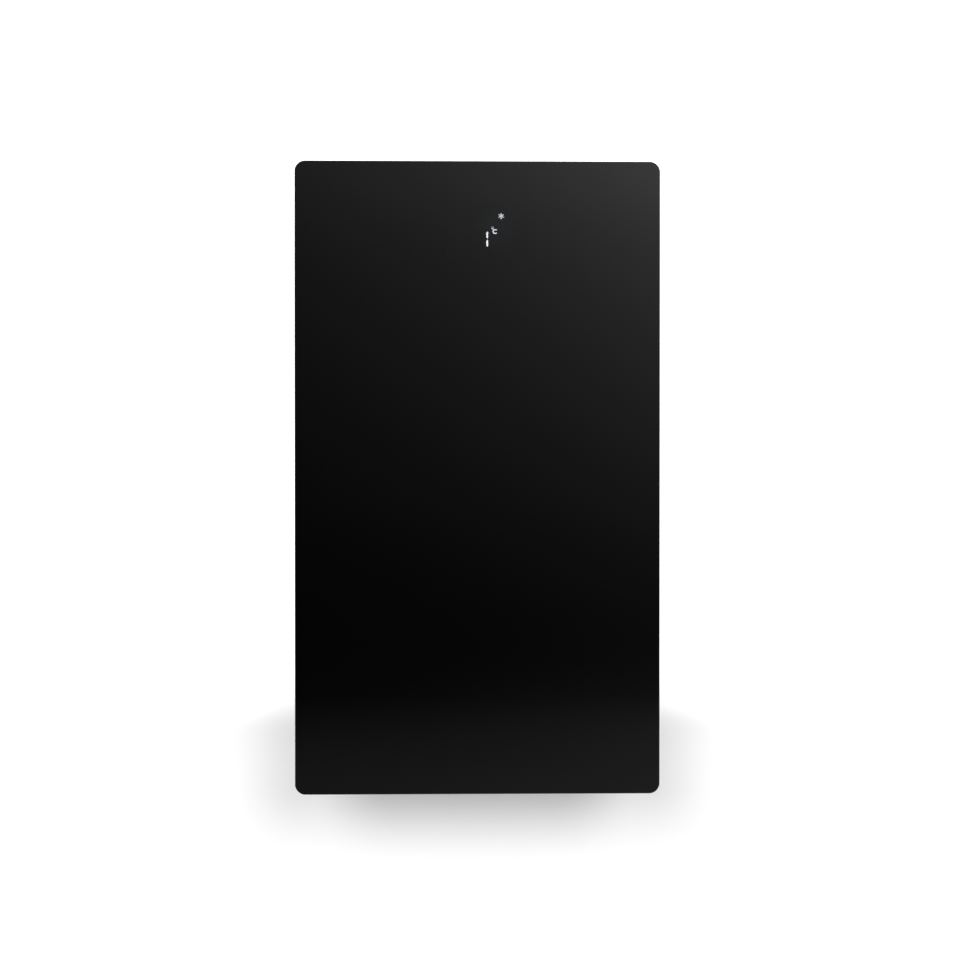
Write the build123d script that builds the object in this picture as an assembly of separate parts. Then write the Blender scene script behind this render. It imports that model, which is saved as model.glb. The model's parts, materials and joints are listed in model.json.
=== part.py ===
from build123d import *
import os
from math import tan, radians, cos, sin

# Wall battery unit, in millimetres.
# The wall is the plane y = 0, the glass front faces -Y and +Z is up.
# The origin is the centre of the wall bracket's four bolt holes.
# A cutting shape runs about 1 mm past each face that it opens.

# ---- Glass front ----
glass_width = 450.0
glass_height = 780.0
glass_thickness = 4.0
glass_corner_radius = 13.0
glass_edge_chamfer = 1.0        # ground edge on the front face
glass_back_chamfer = 0.5        # ground edge on the back face
print_thickness = 0.3           # black ceramic print behind the glass
print_inset = 0.8               # clear rim of glass outside the print
tape_thickness = 1.0            # bonding tape between print and carrier
tape_width = 12.0
carrier_inset = 3.0             # carrier stands this far inside the glass edge
carrier_wall = 2.5
carrier_skirt = 20.0            # how far the carrier reaches back behind the print
carrier_web = 3.0               # plate that the glass is taped to
carrier_web_width = 50.0
carrier_rib_width = 30.0
carrier_rib_offset = 150.0      # ribs above and below the middle of the glass
panel_space = 12.0              # from the inner cover to the back of the print

# ---- Snap studs that hold the front panel ----
stud_side_margin = 38.0         # from the carrier's sides to the studs
stud_end_margin = 60.0          # from the housing's ends to the outer studs
stud_boss_radius = 8.0
stud_neck_radius = 2.5
stud_ball_radius = 4.0
stud_ball_reach = 5.5           # from the boss's end to the ball's centre
stud_fit = 0.3
socket_sleeve_radius = 6.8
socket_sleeve_depth = 9.0
socket_flange_radius = 9.0
socket_flange = 1.5

# ---- Housing ----
side_inset = 8.0                # glass stands proud of the housing at sides and top
bottom_recess = 45.0            # glass hangs this far below the housing
sheet = 2.0
housing_corner_radius = 12.0
housing_back_radius = 3.0
least_radius = 0.5              # smallest corner of a frame's inside
flange_width = 16.0
gasket_width = 12.0
gasket_thickness = 2.0
cover_sheet = 1.5
cover_margin = 1.0              # cover stands this far inside the housing's outline
wall_gap = 14.0                 # housing's back to the wall
rib_height = 3.0                # stiffening ribs pressed into the housing's back
rib_width = 14.0
rib_length = 400.0
rib_pitch = 60.0
rib_count = 6
rib_drop = 15.0                 # ribs start below the wall bracket
rib_end_flat = 0.5

# ---- Cover screws ----
cover_screws_high = 6           # along each long side
cover_screws_wide = 3           # between the corners of each short side
screw_radius = 2.0
screw_head_radius = 3.8
screw_head = 2.4
screw_slack = 0.3               # hole radius over screw radius
thread_slack = 0.05
rivet_nut_radius = 3.6
rivet_nut_length = 6.0
hex_socket = 2.5                # across flats
hex_socket_depth = 1.4
screw_head_bevel = 0.4          # share of the head's height
screw_end_gap = 1.0

# ---- Wall bracket and hanger rail ----
bracket_drop = 190.0            # bolt pattern below the glass's top edge
bracket_width = 340.0
bracket_height = 105.0
bracket_sheet = 2.5
bracket_hole_radius = 4.5
bracket_hole_x = 280.0
bracket_hole_z = 60.0
bracket_lip = 19.0              # height of the upturned lip over the shelf
bracket_shelf = 9.5             # shelf's reach from the wall
hook_slack = 0.5                # between the lip and the rail's down-turned leg
rail_width = 320.0
rail_pad_height = 40.0
rail_leg = 16.0
lower_pad_offset = 40.0         # lower bracket's pad over the housing's bottom
lower_pad_height = 30.0
lower_width = 220.0
lower_flange = 28.0
lower_hole_radius = 3.5
lower_hole_x = 160.0
rivet_radius = 2.5
rivet_head_radius = 4.5
rivet_head = 1.5
rivet_tail = 3.0
rivet_slack = 0.15
rivet_tail_radius = 3.9
rail_rivet_rise = 24.0          # over the lower edge of the rail's pad
rail_rivet_margin = 20.0
lower_rivet_margin = 15.0
rail_rivets = 6
lower_rivets = 4

# ---- Cell modules ----
module_side_space = 57.1        # end plates to the housing's walls, for lugs and cables
cell_depth = 130.3
cell_edge_radius = 2.5
cells_per_module = 8
terminal_radius = 7.0
terminal_height = 2.5
terminal_offset = 40.0          # terminals in front of and behind the cell's middle
cell_vent_width = 10.0
cell_vent_length = 24.0
cell_vent_depth = 0.6
spacer_thickness = 1.0
spacer_inset = 2.0
end_plate = 8.0
end_plate_drop = 3.0            # end plate's top below the cells' top
end_foot = 14.0
end_foot_width = 24.0
end_foot_height = 5.0
foot_offset = 45.0
band_thickness = 1.2
band_height = 16.0
band_offset = 45.0
band_tab = 14.0
band_screw_depth = 6.0
band_hole_depth = 7.0
band_head_height = 2.0
foot_overlap = 1.0              # foot's root inside the end plate
shelf_sheet = 2.0
shelf_flange = 30.0
shelf_lip = 12.0
shelf_overhang = 3.0
shelf_gap = 0.3                 # between the front band and the shelf's lip
wire_slot_gap = 2.0
module_back_gap = 2.5
module_front_gap = 3.2
module_top_gap = 12.0
module_gap = 14.0
busbar_width = 20.0
busbar_thickness = 2.0
link_overlap = 8.0
channel_sheet = 1.5             # insulating channel over the busbars
channel_height = 10.5
channel_inset = 4.0
post_length = 18.0              # insulating post under each end tab
post_width = 24.0
post_height = 34.0
post_hole_depth = 16.0
stud_in_post = 14.0
stud_past_nut = 1.0
stud_radius = 4.0
stud_depth = 13.0               # stud's length inside its holder
nut_height = 5.0
nut_flats = 13.0
lug_thickness = 3.0
lug_barrel_radius = 6.8
lug_barrel_length = 20.0
lug_reach = 18.0
lug_half_width = 8.0
lug_bore_stop = 4.0             # from the lug's face to the cable's end
lug_tongue = 14.0
lug_barrel_start = 12.0
lug_barrel_sink = 2.0           # barrel sunk into its tongue
foot_screw_radius = 3.0
foot_screw_head = 5.0
foot_nut_flats = 10.0
foot_nut = 4.0
foot_screw_tail = 1.0
band_screw_radius = 2.0
band_screw_head = 3.5

# ---- Cables inside the housing ----
power_cable_radius = 5.5
sense_cable_radius = 2.5
sense_plug_width = 12.0
sense_plug_spread = 8.0
sense_plug_depth = 10.0
sense_plug_height = 24.0
cable_drop = 26.0               # cables turn this far below the lower shelf
loop_drop = 70.0                # link cable turns this far below the lower lug
ribbon_x = -20.0
ribbon_width = 12.0
ribbon_slot_height = 8.0
ribbon_slot_slack = 1.0
ribbon_bend = 0.8
ribbon_thickness = 0.6

# ---- Equipment area ----
plate_sheet = 2.0
plate_side_space = 25.0
plate_height = 171.0
plate_lift = 66.0               # plate over the housing's floor
plate_drop = 34.0               # plate below the lower module shelf
standoff_radius = 3.5
standoff_height = 10.0
board_thickness = 1.6
bms_side_margin = 2.0           # board's left edge in from the plate's
bms_margin = 8.0                # board below the plate's top
bms_foot_margin = 13.0          # board over the plate's lower edge
bms_output_gap = 40.0           # board's right edge to the minus output
standoff_inset = 8.0
mosfet_row_drop = 82.5          # transistors below the board's top
plug_width = 18.0
plug_depth = 13.0
plug_height = 10.0
plug_drop = 14.0                # plugs below the equipment plate's top
plug_start = 20.0
plug_step = 24.0
post_margin = 14.0              # power posts in from the board's right edge
post_radius = 6.0
mosfet_pitch = 13.0
mosfet_width = 10.0
mosfet_depth = 4.5
mosfet_height = 12.0
sink_base = 4.0
sink_fin_height = 16.0
sink_fin = 1.6
sink_fin_pitch = 8.0
sink_height = 44.0
sink_side_margin = 30.0
fin_root = 0.5                  # fin's root inside the base
shunt_shift = 10.0              # shunt left of the minus output
holder_width = 30.0
holder_base = 4.0
holder_post = 16.0
holder_post_height = 22.0
holder_length = 92.0
holder_drop = 40.0              # holders below the equipment plate's top, for the cable bends
fuse_radius = 13.0
fuse_length = 40.0
blade_thickness = 3.0
blade_width = 20.0
shunt_strip = 1.5
shunt_strips = 4
shunt_strip_margin = 2.0
strap_width = 18.0
strap_rise = 7.0                # straps pass this far over the isolator
strap_seat = 12.0               # straps meet the isolator this far in from its back
output_height = 30.0
output_margin = 20.0
output_lift = 20.0              # output studs over the equipment plate's lower edge

# ---- Bottom face: isolator, glands, sockets, button ----
# Least distances between the middles of neighbouring fittings. The room left over is shared evenly.
button_to_sockets = 47.0
sockets_to_vent = 43.0
vent_to_earth = 30.0
earth_to_minus = 40.0
minus_to_plus = 45.0
plus_to_isolator = 45.0
isolator_side_space = 57.0
isolator_width = 54.0
isolator_depth = 60.0
isolator_height = 48.0
shaft_radius = 4.0
shaft_fit = 0.05
shaft_depth = 30.0              # shaft's length inside the isolator
shaft_end_gap = 0.3
shaft_slack = 1.0               # hole in the housing around the shaft
moulding_radius = 2.0
escutcheon_radius = 25.0
escutcheon = 4.0
escutcheon_bevel = 1.2
handle_gap = 0.4
handle_radius = 20.0
handle_base = 6.0
handle_grip_height = 16.0
handle_grip_width = 10.0
handle_grip_inset = 1.0
handle_grip_rounding = 0.4      # share of the grip's width
handle_edge_radius = 1.5
shaft_in_handle = 12.0
gland_radius = 16.0
gland_hex = 36.0
gland_hex_height = 7.0
gland_thread_in = 12.0
gland_thread_out = 10.8
gland_thread_step = 2.5         # outer thread is smaller than the one in the housing
gland_nut_height = 18.0
gland_nut_taper = 4.0
gland_nut_inset = 1.0
gland_nut_hex = 33.5
thread_end_gap = 0.5
gland_nut_skirt = 9.0           # round part of the nut
gland_bore_radius = 6.5
gland_seal_wall = 3.5
gland_seal_recess = 0.8
gland_seal_rise = 4.0
locknut_hex = 41.0
locknut_height = 6.0
button_side_space = 37.0
button_bezel_radius = 11.0
button_bezel = 2.5
button_body_radius = 8.0
button_body_length = 24.0
button_cap_radius = 6.0
button_cap_fit = 0.08
button_lip = 0.6                # cap still stands out this far when pressed
button_travel = 1.8
button_shoulder = 3.0
button_wall = 1.4
button_edge = 0.8
button_collar = 2.0
button_collar_gap = 0.1
button_nut_margin = 3.0
thin_nut = 4.0
spring_wire = 0.6
spring_radius = 3.6
spring_turns = 5
jack_width = 16.0
jack_depth = 14.0
jack_height = 20.0
jack_pitch = 20.0
jack_slack = 0.5
comms_board_half = 27.0
jack_opening_width = 11.8
jack_opening_depth = 8.0
jack_opening_height = 15.0
frame_margin = 6.0
frame_thickness = 2.5
flap_thickness = 2.2
flap_gap = 0.3
flap_pin_radius = 1.5
flap_pin_fit = 0.06
flap_knuckle_radius = 3.0
flap_knuckle_length = 8.0
flap_shift = 1.0                # flap stands this far off its frame's middle, away from the hinge
flap_arm = 4.0
vent_thread_radius = 6.0
vent_cap_radius = 9.0
vent_cap = 5.0
vent_nut_flats = 17.0
vent_bevel = 1.5
vent_core_inset = 3.0
vent_slot_rise = 3.4
vent_slot_width = 1.6
vent_slot_height = 1.4
vent_slots = 4
vent_thread_in = 8.0
earth_radius = 3.0
earth_length = 16.0
earth_nut_flats = 13.0
earth_shank_radius = 4.0        # through the housing's wall
earth_flange = 1.6
earth_flange_radius = 6.0

# ---- Fold-away carrying handles, one on each side ----
handle_top_drop = 72.0          # cup's top below the housing's top
cup_length = 100.0
cup_height = 120.0
cup_depth = 20.0
cup_wall = 2.0
cup_flange = 8.0
cup_flange_thickness = 1.8
cup_corner_radius = 8.0
cup_fit = 0.3
bail_rod_radius = 4.0
bail_drop = 55.0
bail_pivot_down = 14.0
bail_pivot_in = 7.0
bail_side_gap = 3.0
bail_pin_radius = 3.0
bail_pin_fit = 0.06
grip_radius = 7.5
grip_length = 66.0
grip_edge_radius = 2.0

# ---- Display behind the glass ----
display_rise = 304.0            # display's middle over the middle of the glass
digit_height = 23.1
digit_width = 12.5
digit_gap = 2.3                 # between the two digits
digit_drop = 9.6                # digits' middle below the display's middle
segment_width = 3.1
segment_gap = 1.36              # between the tips of two bars in line
unit_x = 21.4                   # middle of the letter C
unit_rise = -0.1
unit_radius = 3.1
unit_stroke = 1.4
unit_mouth = 2.8                # opening of the letter C
degree_radius = 1.5
degree_stroke = 0.7
degree_shift_x = -3.1
degree_shift_z = 4.3
flake_x = 29.0
flake_rise = 19.0
flake_radius = 4.0
flake_arm = 0.6
flake_tip_radius = 0.62
flake_knot = 2.1                # knots part of the way along each arm
flake_knot_radius = 0.62
charge_half = 3.4
mask_width = 84.0
mask_height = 56.0
mask_gap = 0.3                  # mask and light pipes stop short of the print
pipe_fit = 0.08
window_grow = 0.1
led_height = 1.0
led_size = 0.8
display_standoff = 2.4
display_standoff_radius = 3.0
display_standoff_inset = 4.0
display_board_margin = 4.0

# ---- Places worked out from the sizes above ----
button_proud = button_lip + button_travel
glass_top = bracket_drop
glass_bottom = glass_top - glass_height
glass_mid = (glass_top + glass_bottom) / 2
housing_width = glass_width - 2 * side_inset
housing_top = glass_top - side_inset
housing_bottom = glass_bottom + bottom_recess
housing_height = housing_top - housing_bottom
housing_mid = (housing_top + housing_bottom) / 2
housing_side = housing_width / 2
housing_depth = sheet + module_back_gap + cell_depth + module_front_gap
floor_z = housing_bottom + sheet            # top of the housing's bottom wall
ceiling_z = housing_top - sheet
back_y = -wall_gap
back_inside_y = back_y - sheet
housing_front_y = back_y - housing_depth
cover_back_y = housing_front_y - gasket_thickness
cover_front_y = cover_back_y - cover_sheet
print_back_y = cover_front_y - panel_space
glass_back_y = print_back_y - print_thickness
glass_front_y = glass_back_y - glass_thickness
carrier_front_y = print_back_y + tape_thickness
carrier_width = glass_width - 2 * carrier_inset
carrier_height = glass_height - 2 * carrier_inset
carrier_radius = glass_corner_radius - carrier_inset
stud_offset_x = carrier_width / 2 - stud_side_margin
middle_y = back_y - housing_depth / 2       # middle of the housing's depth
shelf_top_z = bracket_height / 2
lip_top_z = shelf_top_z + bracket_lip
rail_z = lip_top_z - rail_leg               # lower edge of the rail's pad
rib_mid_z = -bracket_height / 2 - rib_drop - rib_length / 2
socket_reach = socket_sleeve_depth + socket_flange

module_side = housing_side - sheet - module_side_space
module_length = 2 * (module_side - end_plate)
cell_thickness = (module_length - (cells_per_module + 1) * spacer_thickness) / cells_per_module
modules_space = ceiling_z - floor_z - plate_lift - plate_height - plate_drop
cell_height = (modules_space - module_top_gap - module_gap) / 2 - shelf_sheet - channel_height
cell_back_y = back_inside_y - module_back_gap
cell_front_y = cell_back_y - cell_depth
cell_middle_y = (cell_back_y + cell_front_y) / 2
upper_cell_z = ceiling_z - module_top_gap - channel_height - cell_height
lower_cell_z = upper_cell_z - shelf_sheet - module_gap - channel_height - cell_height
module_floors = (upper_cell_z, lower_cell_z)
shelf_side = module_side + end_foot + shelf_overhang
post_x = module_side + post_length / 2
lug_x = post_x + lug_reach
tab_z = cell_height + terminal_height       # underside of busbars over a module's floor

plate_front_y = back_inside_y - plate_sheet
plate_bottom = floor_z + plate_lift
plate_top = lower_cell_z - shelf_sheet - plate_drop
plate_half_width = housing_side - plate_side_space

button_x = button_side_space - housing_side
isolator_x = housing_side - isolator_side_space
least_row = (button_to_sockets + sockets_to_vent + vent_to_earth + earth_to_minus + minus_to_plus
             + plus_to_isolator)
row_slack = (isolator_x - button_x - least_row) / 6
sockets_x = button_x + button_to_sockets + row_slack
vent_x = sockets_x + sockets_to_vent + row_slack
earth_x = vent_x + vent_to_earth + row_slack
output_minus_x = earth_x + earth_to_minus + row_slack
output_plus_x = output_minus_x + minus_to_plus + row_slack
fuse_x = isolator_x
shunt_x = output_minus_x - shunt_shift
bms_left = bms_side_margin - plate_half_width
bms_width = output_minus_x - bms_output_gap - bms_left
bms_height = plate_height - bms_margin - bms_foot_margin
board_back_y = plate_front_y - standoff_height
board_front_y = board_back_y - board_thickness
post_face_y = plate_front_y - holder_base - holder_post
holder_top = plate_top - holder_drop
holder_bottom = holder_top - holder_length
holder_stud_up = holder_top - holder_post_height / 2
holder_stud_down = holder_bottom + holder_post_height / 2
output_z = plate_bottom + output_lift
bms_post_x = bms_left + bms_width - post_margin
plug_top = plate_top - plug_drop
isolator_top = floor_z + isolator_height
isolator_back_y = middle_y + isolator_depth / 2
plug_middle_y = board_front_y - plug_depth / 2
plug_places = (bms_left + plug_start, bms_left + plug_start + plug_step)
display_mid = glass_mid + display_rise
digit_mid = display_mid - digit_drop
digit_x = (digit_width + digit_gap) / 2     # middles of the two digits
mask_front_y = print_back_y + mask_gap
ribbon_slot_z = display_mid - mask_height / 2
display_board_back_y = cover_front_y - display_standoff
display_board_front_y = display_board_back_y - board_thickness
cup_top = housing_top - handle_top_drop
cup_bottom = cup_top - cup_height
pivot_z = cup_top - bail_pivot_down
leg_y = cup_length / 2 - bail_side_gap - bail_rod_radius

pieces = {}


def block(x0, x1, y0, y1, z0, z1):
    """A box between two corners."""
    return Pos(x0, y0, z0) * Box(x1 - x0, y1 - y0, z1 - z0, align=(Align.MIN, Align.MIN, Align.MIN))


def plate(width, height, radius, y_back, depth, x=0.0, z=0.0):
    """A rounded rectangle facing the front, from y_back forwards by depth."""
    return Pos(x, y_back, z) * extrude(Plane.XZ * RectangleRounded(width, height, radius), depth)


def rod_x(radius, x0, x1, y, z):
    return Pos(x0, y, z) * extrude(Plane.YZ * Circle(radius), x1 - x0)


def rod_y(radius, x, y_back, depth, z):
    """A round bar that runs from y_back forwards by depth."""
    return Pos(x, y_back, z) * extrude(Plane.XZ * Circle(radius), depth)


def rod_z(radius, x, y, z0, z1):
    return Pos(x, y, z0) * extrude(Circle(radius), z1 - z0)


def hex_y(flats, x, y_back, depth, z):
    return Pos(x, y_back, z) * extrude(Plane.XZ * RegularPolygon(flats / 2, 6, major_radius=False), depth)


def hex_z(flats, x, y, z0, z1):
    return Pos(x, y, z0) * extrude(RegularPolygon(flats / 2, 6, major_radius=False), z1 - z0)


def spread(count, span):
    """Evenly spaced places across a span, centred on zero."""
    return [span * (i / (count - 1) - 0.5) for i in range(count)]


def keep(node, shapes):
    """Add solids to a node. Fasteners and fittings of one kind share a node."""
    pieces.setdefault(node, []).extend(solid for shape in shapes for solid in shape.solids())


def cut(body, tools):
    for tool in tools:
        body = body - tool
    return body


# ---- Wall bracket, hanger rail and lower bracket ----
def rail_rivet_places():
    return [(x, rail_z + rail_rivet_rise) for x in spread(rail_rivets, rail_width - 2 * rail_rivet_margin)]


def lower_rivet_places():
    z = housing_bottom + lower_pad_offset + lower_pad_height / 2
    return [(x, z) for x in spread(lower_rivets, lower_width - 2 * lower_rivet_margin)]


def make_wall_bracket():
    half = bracket_width / 2
    body = block(-half, half, -bracket_sheet, 0, -bracket_height / 2, shelf_top_z)
    body += block(-half, half, -bracket_shelf, 0, shelf_top_z - bracket_sheet, shelf_top_z)
    body += block(-half, half, -bracket_shelf, bracket_sheet - bracket_shelf,
                  shelf_top_z - bracket_sheet, lip_top_z)
    holes = [rod_y(bracket_hole_radius, sx * bracket_hole_x / 2, 1, bracket_sheet + 2,
                   sz * bracket_hole_z / 2) for sx in (-1, 1) for sz in (-1, 1)]
    keep("wall_bracket", [cut(body, holes)])


def make_hanger_rail():
    """The rail's top web rests on the bracket's lip, and its leg drops behind the lip."""
    half = rail_width / 2
    leg_front_y = bracket_sheet - bracket_shelf + hook_slack
    pad_y = back_y + bracket_sheet
    body = block(-half, half, back_y, pad_y, rail_z, rail_z + rail_pad_height)
    body += block(-half, half, back_y, leg_front_y + bracket_sheet, lip_top_z, lip_top_z + bracket_sheet)
    body += block(-half, half, leg_front_y, leg_front_y + bracket_sheet,
                  lip_top_z - rail_leg, lip_top_z + bracket_sheet)
    holes = [rod_y(rivet_radius + rivet_slack, x, pad_y + 1, bracket_sheet + 2, z)
             for x, z in rail_rivet_places()]
    keep("hanger_rail", [cut(body, holes)])


def make_lower_bracket():
    """A Z bracket that keeps the unit upright and takes two screws into the wall."""
    half = lower_width / 2
    pad_z = housing_bottom + lower_pad_offset
    body = block(-half, half, back_y, back_y + bracket_sheet, pad_z, pad_z + lower_pad_height)
    body += block(-half, half, back_y, 0, pad_z - bracket_sheet, pad_z)
    body += block(-half, half, -bracket_sheet, 0, pad_z - lower_flange, pad_z)
    holes = [rod_y(rivet_radius + rivet_slack, x, back_y + bracket_sheet + 1, bracket_sheet + 2, z)
             for x, z in lower_rivet_places()]
    hole_z = pad_z - bracket_sheet - (lower_flange - bracket_sheet) / 2
    holes += [rod_y(lower_hole_radius, sx * lower_hole_x / 2, 1, bracket_sheet + 2, hole_z)
              for sx in (-1, 1)]
    keep("lower_bracket", [cut(body, holes)])


def rivet(x, z):
    """A rivet through the housing's back and a bracket's pad, its head inside."""
    body = rod_y(rivet_head_radius, x, back_inside_y, rivet_head, z)
    body += rod_y(rivet_radius, x, back_y + bracket_sheet, bracket_sheet + sheet, z)
    body += rod_y(rivet_tail_radius, x, back_y + bracket_sheet + rivet_tail, rivet_tail, z)
    return body


def make_rivets():
    keep("bracket_rivets", [rivet(x, z) for x, z in rail_rivet_places() + lower_rivet_places()])


# ---- Housing, gasket, inner cover and its screws ----
def cover_screw_places():
    x_edge = housing_side - flange_width / 2
    z_edge = housing_height / 2 - flange_width / 2
    corner = housing_corner_radius + flange_width / 2
    places = [(sx * x_edge, z) for sx in (-1, 1)
              for z in spread(cover_screws_high, 2 * (z_edge - corner))]
    step = 2 * (x_edge - corner) / (cover_screws_wide + 1)
    places += [((i + 1) * step - (x_edge - corner), sz * z_edge) for sz in (-1, 1)
               for i in range(cover_screws_wide)]
    return [(x, housing_mid + z) for x, z in places]


def bottom_holes():
    """Every cut through the housing's bottom wall."""
    z0 = housing_bottom - 1
    z1 = floor_z + 1
    width = jack_pitch + jack_width + 2 * jack_slack
    holes = [rod_z(gland_radius + screw_slack, x, middle_y, z0, z1) for x in (output_minus_x, output_plus_x)]
    holes.append(rod_z(shaft_radius + shaft_slack, isolator_x, middle_y, z0, z1))
    holes.append(rod_z(button_body_radius + screw_slack, button_x, middle_y, z0, z1))
    holes.append(block(sockets_x - width / 2, sockets_x + width / 2,
                       middle_y - jack_depth / 2 - jack_slack, middle_y + jack_depth / 2 + jack_slack, z0, z1))
    holes.append(rod_z(vent_thread_radius + screw_slack, vent_x, middle_y, z0, z1))
    holes.append(rod_z(earth_shank_radius + screw_slack, earth_x, middle_y, z0, z1))
    return holes


def side_holes():
    """The cut-outs for the two handle cups."""
    length = cup_length + 2 * (cup_wall + cup_fit)
    height = cup_height + 2 * (cup_wall + cup_fit)
    z = (cup_top + cup_bottom) / 2
    start = housing_side - sheet - 1
    return [block(min(s * start, s * (housing_side + 1)), max(s * start, s * (housing_side + 1)),
                  middle_y - length / 2, middle_y + length / 2, z - height / 2, z + height / 2)
            for s in (-1, 1)]


def make_housing():
    body = plate(housing_width, housing_height, housing_corner_radius, back_y, housing_depth, z=housing_mid)
    rim = body.edges().filter_by_position(Axis.Y, back_y - 0.01, back_y + 0.01)
    body = fillet(rim, housing_back_radius)
    inner_radius = housing_corner_radius - sheet
    body -= plate(housing_width - 2 * sheet, housing_height - 2 * sheet, inner_radius, back_inside_y,
                  housing_depth - 2 * sheet, z=housing_mid)
    body -= plate(housing_width - 2 * flange_width, housing_height - 2 * flange_width, inner_radius,
                  back_inside_y, housing_depth, z=housing_mid)
    for x in spread(rib_count, rib_pitch * (rib_count - 1)):
        body += plate(rib_width, rib_length, rib_width / 2 - rib_end_flat, back_y + rib_height, rib_height,
                      x=x, z=rib_mid_z)
    holes = [rod_y(screw_radius + screw_slack, x, housing_front_y + sheet + 1, sheet + 2, z)
             for x, z in cover_screw_places()]
    holes += [rod_y(rivet_radius + rivet_slack, x, back_y + 1, sheet + 2, z)
              for x, z in rail_rivet_places() + lower_rivet_places()]
    keep("housing_shell", welded_panels(cut(body, holes + bottom_holes() + side_holes())))


def welded_panels(shell):
    """The shell as it is welded up: back, front flange, four flat walls and the four bends between them."""
    flange_back_y = housing_front_y + sheet
    side, top, bottom = housing_side + 1, housing_top + 1, housing_bottom - 1
    flat_x = housing_side - housing_corner_radius
    flat_top, flat_bottom = housing_top - housing_corner_radius, housing_bottom + housing_corner_radius
    panels = [shell & block(-side, side, back_inside_y, 0, bottom, top),
              shell & block(-side, side, housing_front_y - 1, flange_back_y, bottom, top)]
    for x0, x1 in ((-side, -flat_x), (-flat_x, flat_x), (flat_x, side)):
        for z0, z1 in ((bottom, flat_bottom), (flat_bottom, flat_top), (flat_top, top)):
            if (x0, z0) != (-flat_x, flat_bottom):
                panels.append(shell & block(x0, x1, flange_back_y, back_inside_y, z0, z1))
    return panels


def ring(width, height, radius, inner, y_back, depth, z):
    """A flat frame of one width all round."""
    return (plate(width, height, radius, y_back, depth, z=z)
            - plate(width - 2 * inner, height - 2 * inner, max(radius - inner, least_radius), y_back + 1,
                    depth + 2, z=z))


def make_cover_and_gasket():
    width = housing_width - 2 * cover_margin
    height = housing_height - 2 * cover_margin
    radius = housing_corner_radius - cover_margin
    gasket = ring(width, height, radius, gasket_width, housing_front_y, gasket_thickness, housing_mid)
    cover = plate(width, height, radius, cover_back_y, cover_sheet, z=housing_mid)
    through = [rod_y(screw_radius + screw_slack, x, housing_front_y + 1, gasket_thickness + cover_sheet + 2, z)
               for x, z in cover_screw_places()]
    keep("cover_gasket", [cut(gasket, through)])
    holes = through + [rod_y(socket_sleeve_radius + screw_slack, x, cover_back_y + 1, cover_sheet + 2, z)
                       for x, z in stud_places()]
    slot_half = ribbon_width / 2 + ribbon_slot_slack
    slot = block(ribbon_x - slot_half, ribbon_x + slot_half, cover_front_y - 1, cover_back_y + 1,
                 ribbon_slot_z - ribbon_slot_height, ribbon_slot_z)
    keep("inner_cover", [cut(cover, holes + [slot])])


def button_head_screw(radius, head_radius, head, length, x, y_seat, z):
    """A screw whose head sits on y_seat and whose shank runs back from it."""
    body = rod_y(head_radius, x, y_seat, head, z)
    body = chamfer(body.edges().filter_by_position(Axis.Y, y_seat - head - 0.01, y_seat - head + 0.01),
                   head * screw_head_bevel)
    body += rod_y(radius, x, y_seat + length, length, z)
    return body - hex_y(hex_socket, x, y_seat - head + hex_socket_depth, hex_socket_depth + 1, z)


def make_cover_screws():
    length = cover_sheet + gasket_thickness + sheet + rivet_nut_length - screw_end_gap
    keep("cover_screws", [button_head_screw(screw_radius, screw_head_radius, screw_head, length, x,
                                            cover_front_y, z) for x, z in cover_screw_places()])
    back = housing_front_y + sheet + rivet_nut_length
    nuts = [rod_y(rivet_nut_radius, x, back, rivet_nut_length, z)
            - rod_y(screw_radius + thread_slack, x, back + 1, rivet_nut_length + 2, z)
            for x, z in cover_screw_places()]
    keep("housing_nuts", nuts)


# ---- Front panel: glass, print, tape, carrier and snap studs ----
def stud_places():
    rows = (housing_top - stud_end_margin, housing_mid, housing_bottom + stud_end_margin)
    return [(sx * stud_offset_x, z) for sx in (-1, 1) for z in rows]


def make_glass():
    body = plate(glass_width, glass_height, glass_corner_radius, glass_back_y, glass_thickness, z=glass_mid)
    front = body.edges().filter_by_position(Axis.Y, glass_front_y - 0.01, glass_front_y + 0.01)
    body = chamfer(front, glass_edge_chamfer)
    back = body.edges().filter_by_position(Axis.Y, glass_back_y - 0.01, glass_back_y + 0.01)
    keep("front_glass", [chamfer(back, glass_back_chamfer)])


def make_print():
    body = plate(glass_width - 2 * print_inset, glass_height - 2 * print_inset,
                 glass_corner_radius - print_inset, print_back_y, print_thickness, z=glass_mid)
    windows = prisms(lit_marks(window_grow, hollow=True) + unlit_marks(window_grow), print_back_y + 1,
                     print_thickness + 2)
    keep("glass_print", [cut(body, windows)])


def make_carrier():
    width, height, radius = carrier_width, carrier_height, carrier_radius
    tape = ring(width, height, radius, tape_width, print_back_y + tape_thickness, tape_thickness, glass_mid)
    keep("bonding_tape", [tape])
    back = print_back_y + carrier_skirt
    body = ring(width, height, radius, carrier_wall, back, back - carrier_front_y, glass_mid)
    web_back = carrier_front_y + carrier_web
    body += ring(width, height, radius, carrier_web_width, web_back, carrier_web, glass_mid)
    half = width / 2 - carrier_wall
    for side in (-1, 1):
        z = glass_mid + side * carrier_rib_offset
        body += block(-half, half, carrier_front_y, web_back, z - carrier_rib_width / 2,
                      z + carrier_rib_width / 2)
    boss_end = cover_front_y - socket_flange
    for x, z in stud_places():
        body += rod_y(stud_boss_radius, x, boss_end, boss_end - carrier_front_y, z)
    body = cut(body, [rod_y(stud_neck_radius + thread_slack, x, boss_end + 1, stud_ball_reach + 1, z)
                      for x, z in stud_places()])
    keep("panel_carrier", [body])


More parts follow.
